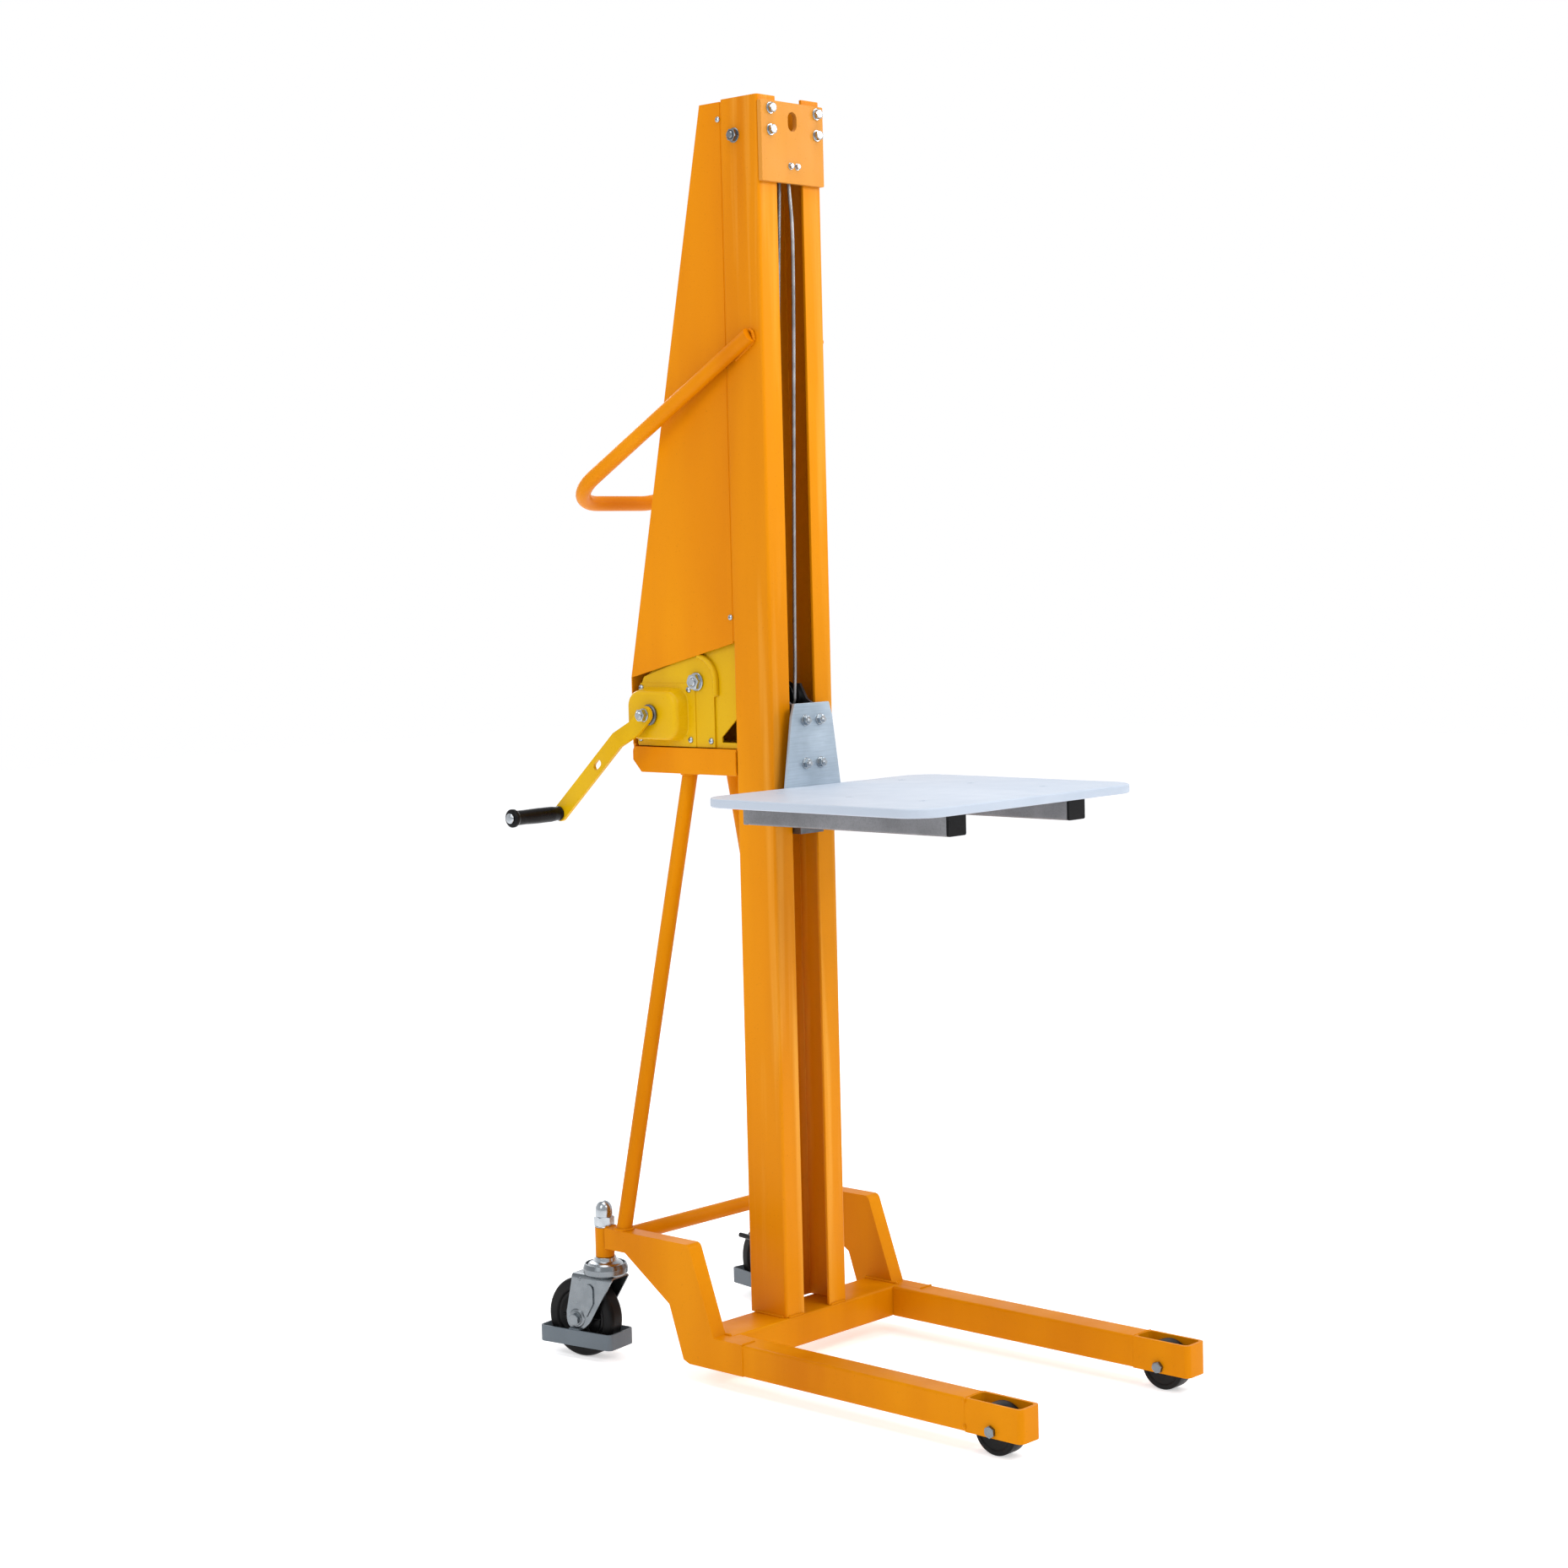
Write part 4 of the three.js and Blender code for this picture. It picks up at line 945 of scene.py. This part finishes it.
def gear_pocket():
    """Domed pocket of the cover: its rounded outline draws in as the wall rises."""
    bm = bmesh.new()
    wall = rounded([(-3, 0.3), (0.5, 0.8, 2.5), (6.5, 24.6, 10), (48, 26.4)], 10, closed=False)
    rings = []
    for inset, height in wall:
        lean = min(inset, 36)
        across, up = (188 + lean, 309 - lean * 0.6), (994 + lean * 0.5, 1081 - lean * 0.8)
        loop = rounded_box(across, up, max(27 - lean * 0.45, 10), 10)
        rings.append([bm.verts.new((-66.8 - height, u, v)) for u, v in loop])
    for first, second in zip(rings, rings[1:]):
        bridge(bm, first, second)
    bm.faces.new(rings[-1])
    bm.faces.new(rings[0][::-1])
    even_normals(piece("winch_cover_pocket", bm, "yellow_paint", "frame", crease=60))


def winch_screws():
    bm = bmesh.new()
    for y, z in ((295, 1080), (186, 1078), (299, 997), (184, 997)):
        pan_head(bm, (-67.5, y, z), -X, 5.2, 3.6)
    pan_head(bm, (-66.2, 139, 996), -X, 5.2, 3.6)
    for y, z in ((108, 1120), (292, 1000), (108, 1000)):
        pan_head(bm, (63, y, z), X, 5.0, 3.4)
    piece("winch_screws", bm, "zinc_plate", "frame")


def winch():
    softened("winch_frame", "yellow_paint", "frame", 0.5)
    rope_drum()
    crank_shaft()
    crank_handle()
    gear_cover()
    winch_screws()


# ---- carriage and platform
def roller(name, level):
    radius, half = ROLLER["radius"], ROLLER["half"]
    bm = bmesh.new()
    profile = rounded(both_ways([
        (10.3, half), (16, half), (17, half - 1.2), (27, half - 1.2), (28, half), (radius, half, 2.2),
    ]), 4)
    turn_round(bm, (ROLLER["x"], ROLLER["y"], ROLLER[level]), X, profile, 56, closed=True)
    node = f"{name}_{level}_roller"
    piece(f"{node}_tread", bm, "plain_steel", node, [node], mirrored(SIDES[name]))


def platform_top():
    bm = bmesh.new()
    outline = rounded_box(
        (-PLATFORM["half"], PLATFORM["half"]), (PLATFORM["front"], PLATFORM["back"]), PLATFORM["corner"], 16,
    )
    slab(bm, "z", outline, PLATFORM["low"], PLATFORM["high"], edge=2.6, segments=4)
    even_normals(piece("platform_top_sheet", bm, "platform_white", "carriage", ["platform_top"]))
    head = [(0, -0.5), (6.6, -0.5), (6.6, 0.2), (5.8, 0.5), (3, 0.5), (2.6, -0.2), (0, -0.2)]
    bm = bmesh.new()
    for x in (-143.5, 143.5):
        for y in (-80, -223, -366):
            turn_round(bm, (x, y, PLATFORM["high"]), Z, head, 28)
    piece("platform_screws", bm, "platform_white", "carriage")


def carriage():
    softened("carriage_plate", "pale_plate", "carriage", 0.9)
    softened("carriage_frame", "plain_steel", "carriage", 0.6)
    softened("platform_cross_bar", "grey_paint", "carriage", 1.0)
    for name in SIDES:
        softened(f"{name}_platform_tube", "grey_paint", "carriage", 0.6)
        softened(f"{name}_platform_tube_cap", "black_plastic", "carriage", 0.8)
        roller(name, "upper")
        roller(name, "lower")
    platform_top()
    wheel = grooved_wheel(CARRIAGE_SHEAVE)
    piece("carriage_sheave_wheel", wheel, "black_plastic", "carriage_sheave", ["carriage_sheave"])
    bm = bmesh.new()
    turn_round(bm, (0, CARRIAGE_SHEAVE["y"], CARRIAGE_SHEAVE["z"]), X, both_ways([
        (0, 31), (10.5, 30.5), (10.5, 27.2), (7, 27.2), (7, 21.8), (10, 21.8), (10, 7.8), (7, 7.8),
    ]), 36)
    piece("carriage_sheave_axle", bm, "zinc_plate", "carriage", ["carriage_sheave_pin"])
    face = -20.5
    bm = bmesh.new()
    for x in (-17, 17):
        for z in (1030, 962):
            washer(bm, (x, face, z), -Y, 9, 1.6)
            hex_head(bm, (x, face - 1.5, z), -Y, 13, 6, 0.2 + z * 0.3 + x)
            stud(bm, (x, face - 7.1, z), -Y, 4, 4.5)
    piece("bracket_bolts", bm, "zinc_plate", "carriage")


# ---- hoist rope
def tangent(start, start_side, end, end_side):
    """Where a straight rope leaves one round and meets the next; a radius on the -y side is negative."""
    run = Vector((end["y"] - start["y"], end["z"] - start["z"]))
    lean = acos((start_side - end_side) / run.length)
    angle = atan2(run.y, run.x) - copysign(lean, run.y)
    normal = Vector((0, cos(angle), sin(angle)))
    return (
        Vector((0, start["y"], start["z"])) + normal * start_side,
        Vector((0, end["y"], end["z"])) + normal * end_side,
    )


def smooth_line(points):
    """Evenly spaced points on a smooth curve through the given ones."""
    step = 2.5
    spread = [points[0] * 2 - points[1], *points, points[-1] * 2 - points[-2]]
    line = []
    for a, b, c, d in zip(spread, spread[1:], spread[2:], spread[3:]):
        count = max(2, round((c - b).length / step))
        square, cube = 2 * a - 5 * b + 4 * c - d, 3 * b - a - 3 * c + d
        for t in (k / count for k in range(count)):
            line.append(0.5 * (2 * b + (c - a) * t + square * t * t + cube * t ** 3))
    line.append(points[-1])
    return line


def stranded(line):
    """Six-strand wire rope along a line: a lobed section that turns as it goes."""
    lay, points = 34.0, 30
    bm = bmesh.new()
    travelled = [0.0]
    for first, second in zip(line, line[1:]):
        travelled.append(travelled[-1] + (second - first).length)

    def section(i):
        turn = 2 * pi * travelled[i] / lay
        spots = []
        for k in range(points):
            angle = 2 * pi * k / points
            radius = ROPE * (0.86 + 0.14 * abs(cos(3 * angle)))
            spots.append((radius * cos(angle + turn), radius * sin(angle + turn)))
        return spots

    sweep(bm, line, section)
    return bm


def wrap(spot, first, last, count):
    """Points of the rope round a sheave, between two angles."""
    radius = spot["rope"]
    angles = [first + (last - first) * i / count for i in range(count + 1)]
    return [Vector((0, spot["y"] + radius * cos(a), spot["z"] + radius * sin(a))) for a in angles]


def bearing(point, spot):
    """Angle of a point seen from a sheave's axis."""
    return atan2(point.z - spot["z"], point.y - spot["y"])


def rope_piece(name, line, body, covers=()):
    return piece(name, stranded(line), "wire_rope", body, covers, crease=60)


def hoist_rope():
    """Rope from the drum over the top sheave, under the carriage sheave, and up to its anchor."""
    leave, arrive = tangent(DRUM, -DRUM["rope"], TOP_SHEAVE, TOP_SHEAVE["rope"])
    depart, foot = tangent(TOP_SHEAVE, -TOP_SHEAVE["rope"], CARRIAGE_SHEAVE, CARRIAGE_SHEAVE["rope"])
    last = bearing(depart, TOP_SHEAVE) % (2 * pi)
    over = wrap(TOP_SHEAVE, bearing(arrive, TOP_SHEAVE), last, 40)
    rope_piece("winch_rope_run", smooth_line([leave, arrive]) + over[1:], "frame", ["rope_winch_run"])
    rear = rope_piece("rear_rope_fall", smooth_line([depart, foot]), None, ["rope_rear_fall"])
    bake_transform(rear)
    under = wrap(CARRIAGE_SHEAVE, bearing(foot, CARRIAGE_SHEAVE), -pi, 36)
    rope_piece("sheave_rope_wrap", under, "carriage")
    bow = [
        (17, 1066), (14.5, 1110), (12.6, 1200), (8.8, 1350), (4.3, 1500), (0.2, 1630), (-2.2, 1740),
        (-2, 1805), (1.6, 1850), (4, 1879.7),
    ]
    points = [Vector((0, y, z)) for y, z in bow]
    front = rope_piece("front_rope_fall", smooth_line(points), None, ["rope_front_fall"])
    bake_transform(front)


# ---- casters
def caster_place(side):
    """Place of a caster piece drawn round its own swivel axis with the wheel trailing to +y."""
    swivel = Matrix.Translation((CASTER["x"], CASTER["y"], 0))
    return mirrored(side) @ swivel @ Matrix.Rotation(-CASTER["yaw"], 4, "Z")


def caster_stem(name, side):
    x, y = CASTER["x"], CASTER["y"]
    bm = bmesh.new()
    profile = rounded([
        (0, 152.6), (29, 152.6, 0.8), (30.2, 155, 1.6), (26, 158.4, 3), (19, 161.2, 2), (18, 167.7, 1),
        (9, 167.7), (9, 216), (0, 216),
    ], 5, closed=False)
    turn_round(bm, (x, y, 0), Z, profile, 56)
    piece(f"{name}_race_top", bm, "zinc_plate", "frame", [f"{name}_caster_stem"], mirrored(side))
    bm = bmesh.new()
    washer(bm, (x, y, 216), Z, 15.6, 2.6)
    hex_head(bm, (x, y, 218.4), Z, 28.5, 15.5, 0.45, dish=0.2)
    dome = [(0, 230), (13.6, 231), (14, 238)]
    dome += [(14 * cos(radians(d)), 243 + 16 * sin(radians(d))) for d in range(0, 90, 9)]
    turn_round(bm, (x, y, 0), Z, [*dome, (0, 259)], 40)
    piece(f"{name}_dome_nut", bm, "zinc_plate", "frame", [f"{name}_stem_nut"], mirrored(side))


def cheek_span(z):
    """Front and rear edge of the fork's cheek at a height; both close in round the wheel bolt."""
    front = -29 + max(0, 134 - z) * 0.62
    rear = 52 + min(1, max(0, 128 - z) / 54) * 12
    bolt, middle, radius = 64, 45, 20
    if z < bolt:
        drop = 1 - sqrt(max(0.0, 1 - ((bolt - z) / radius) ** 2))
        front, rear = front + (middle - front) * drop, rear + (middle - rear) * drop
    return front, rear


def fork_sheet(bm):
    """Adds the pressed sheet of the fork: cheek, rounded shoulder, crown, shoulder and cheek in one."""
    half, crown, bend, sheet = 24, 138.4, 7, 3
    across = []
    for z in (44.2, 45, 47, 50, 54, 58, 64, 74, 86, 98, 110, 120, 126, 129, crown - bend):
        across.append((half, z, 1, 0))
    for step in range(1, 9):
        angle = pi / 2 * step / 8
        out, up = cos(angle), sin(angle)
        across.append((half - bend + bend * out, crown - bend + bend * up, out, up))
    across += [(-x, z, -out, up) for x, z, out, up in reversed(across)]
    columns = 12
    sides = []
    for depth in (0, sheet):
        rows = []
        for x, z, out, up in across:
            front, rear = cheek_span(z)
            spots = [front + (rear - front) * i / columns for i in range(columns + 1)]
            rows.append([bm.verts.new((x - out * depth, y, z - up * depth)) for y in spots])
        for first, second in zip(rows, rows[1:]):
            for i in range(columns):
                bm.faces.new((first[i], first[i + 1], second[i + 1], second[i]))
        rears, fronts = [row[-1] for row in rows[1:-1]], [row[0] for row in rows[-2:0:-1]]
        sides.append([*rows[0], *rears, *rows[-1][::-1], *fronts])
    bridge(bm, *sides)


def caster_fork(name, side):
    """Pressed fork: race bowl, bent sheet, a rib and a dimple on each cheek, and the wheel bolt."""
    trail, radius = CASTER["trail"], CASTER["radius"]
    bm = bmesh.new()
    bowl = rounded([
        (0, 138), (32, 138, 2), (36, 141.5, 3), (36.4, 150, 4), (33.6, 157.2, 1.2), (31.4, 157.2, 0.5),
        (31.2, 151.5), (0, 151.5),
    ], 5, closed=False)
    turn_round(bm, (0, 0, 0), Z, bowl, 56)
    fork_sheet(bm)
    rib = rounded([(8, 93, 3), (22, 70, 3), (26.5, 66, 3), (26.5, 124, 9), (8, 124, 9)])
    dimple = [(0, 0), (3.4, 0), (2.8, 1.2), (1.4, 2), (0, 2.2)]
    boss = [(0, 0), (16, 0), (15, 1.8), (12.6, 2.8), (0, 2.8)]
    for sign in (1, -1):
        out = X * sign
        slab(bm, "x", rib, *sorted((sign * 23.6, sign * 26.4)), edge=1.3, segments=3)
        turn_round(bm, (sign * 23.6, 36, 131), out, dimple, 20)
        turn_round(bm, (sign * 23.8, trail, radius), out, boss, 40)
        washer(bm, (sign * 26.4, trail, radius), out, 11.5, 2.2)
        hex_head(bm, (sign * 28.4, trail, radius), out, 17, 6, 0.3)
    turn_round(bm, (0, trail, radius), X, both_ways([(0, 31), (5, 31), (6, 30)]), 28)
    fork, place = f"{name}_fork_pressing", caster_place(side)
    shown = piece(fork, bm, "dull_zinc", f"{name}_caster", [f"{name}_caster_fork"], place, crease=40)
    even_normals(shown)


def caster_wheel(name, side):
    trail, radius, half = CASTER["trail"], CASTER["radius"], CASTER["half"]
    body, place = f"{name}_caster_wheel", caster_place(side)
    bm = bmesh.new()
    tyre = rounded(both_ways([
        (45, half - 3), (48.5, half, 1.6), (radius - 3, half, 5), (radius, half - 6, 6),
    ]), 6)
    turn_round(bm, (0, trail, radius), X, tyre, 72, closed=True)
    piece(f"{name}_caster_tyre", bm, "tyre_black", body, [body], place, crease=50)
    bm = bmesh.new()
    hub = rounded(both_ways([
        (6.5, 19.5), (13, 19.5, 1), (15, 16, 3), (20, 10, 3), (36, 9.5, 3), (41, 13.5, 2), (45.2, 13.5, 0.5),
    ]), 4)
    turn_round(bm, (0, trail, radius), X, hub, 64, closed=True)
    for sign in (1, -1):
        centre = Vector((sign * 9.6, trail, radius))
        for u, v in circle(0, 0, 1, 6):
            ray = Vector((0, u, v))
            sweep(bm, [centre + ray * 17, centre + ray * 39], lambda i: circle(0, 0, 2.2, 12))
    piece(f"{name}_caster_hub", bm, "black_plastic", body, place=place)


def casters():
    for name, side in SIDES.items():
        caster_stem(name, side)
        caster_fork(name, side)
        caster_wheel(name, side)
        softened(f"{name}_foot_guard", "slate_paint", f"{name}_caster", 0.6)
        softened(f"{name}_brake_pedal", "black_plastic", f"{name}_brake_pedal", 1.2, 3)


camera()
studio()
floor()
base_frame()
base_welds()
mast()
mast_fasteners()
guard_and_handle()
winch()
carriage()
hoist_rope()
drum_coil()
casters()
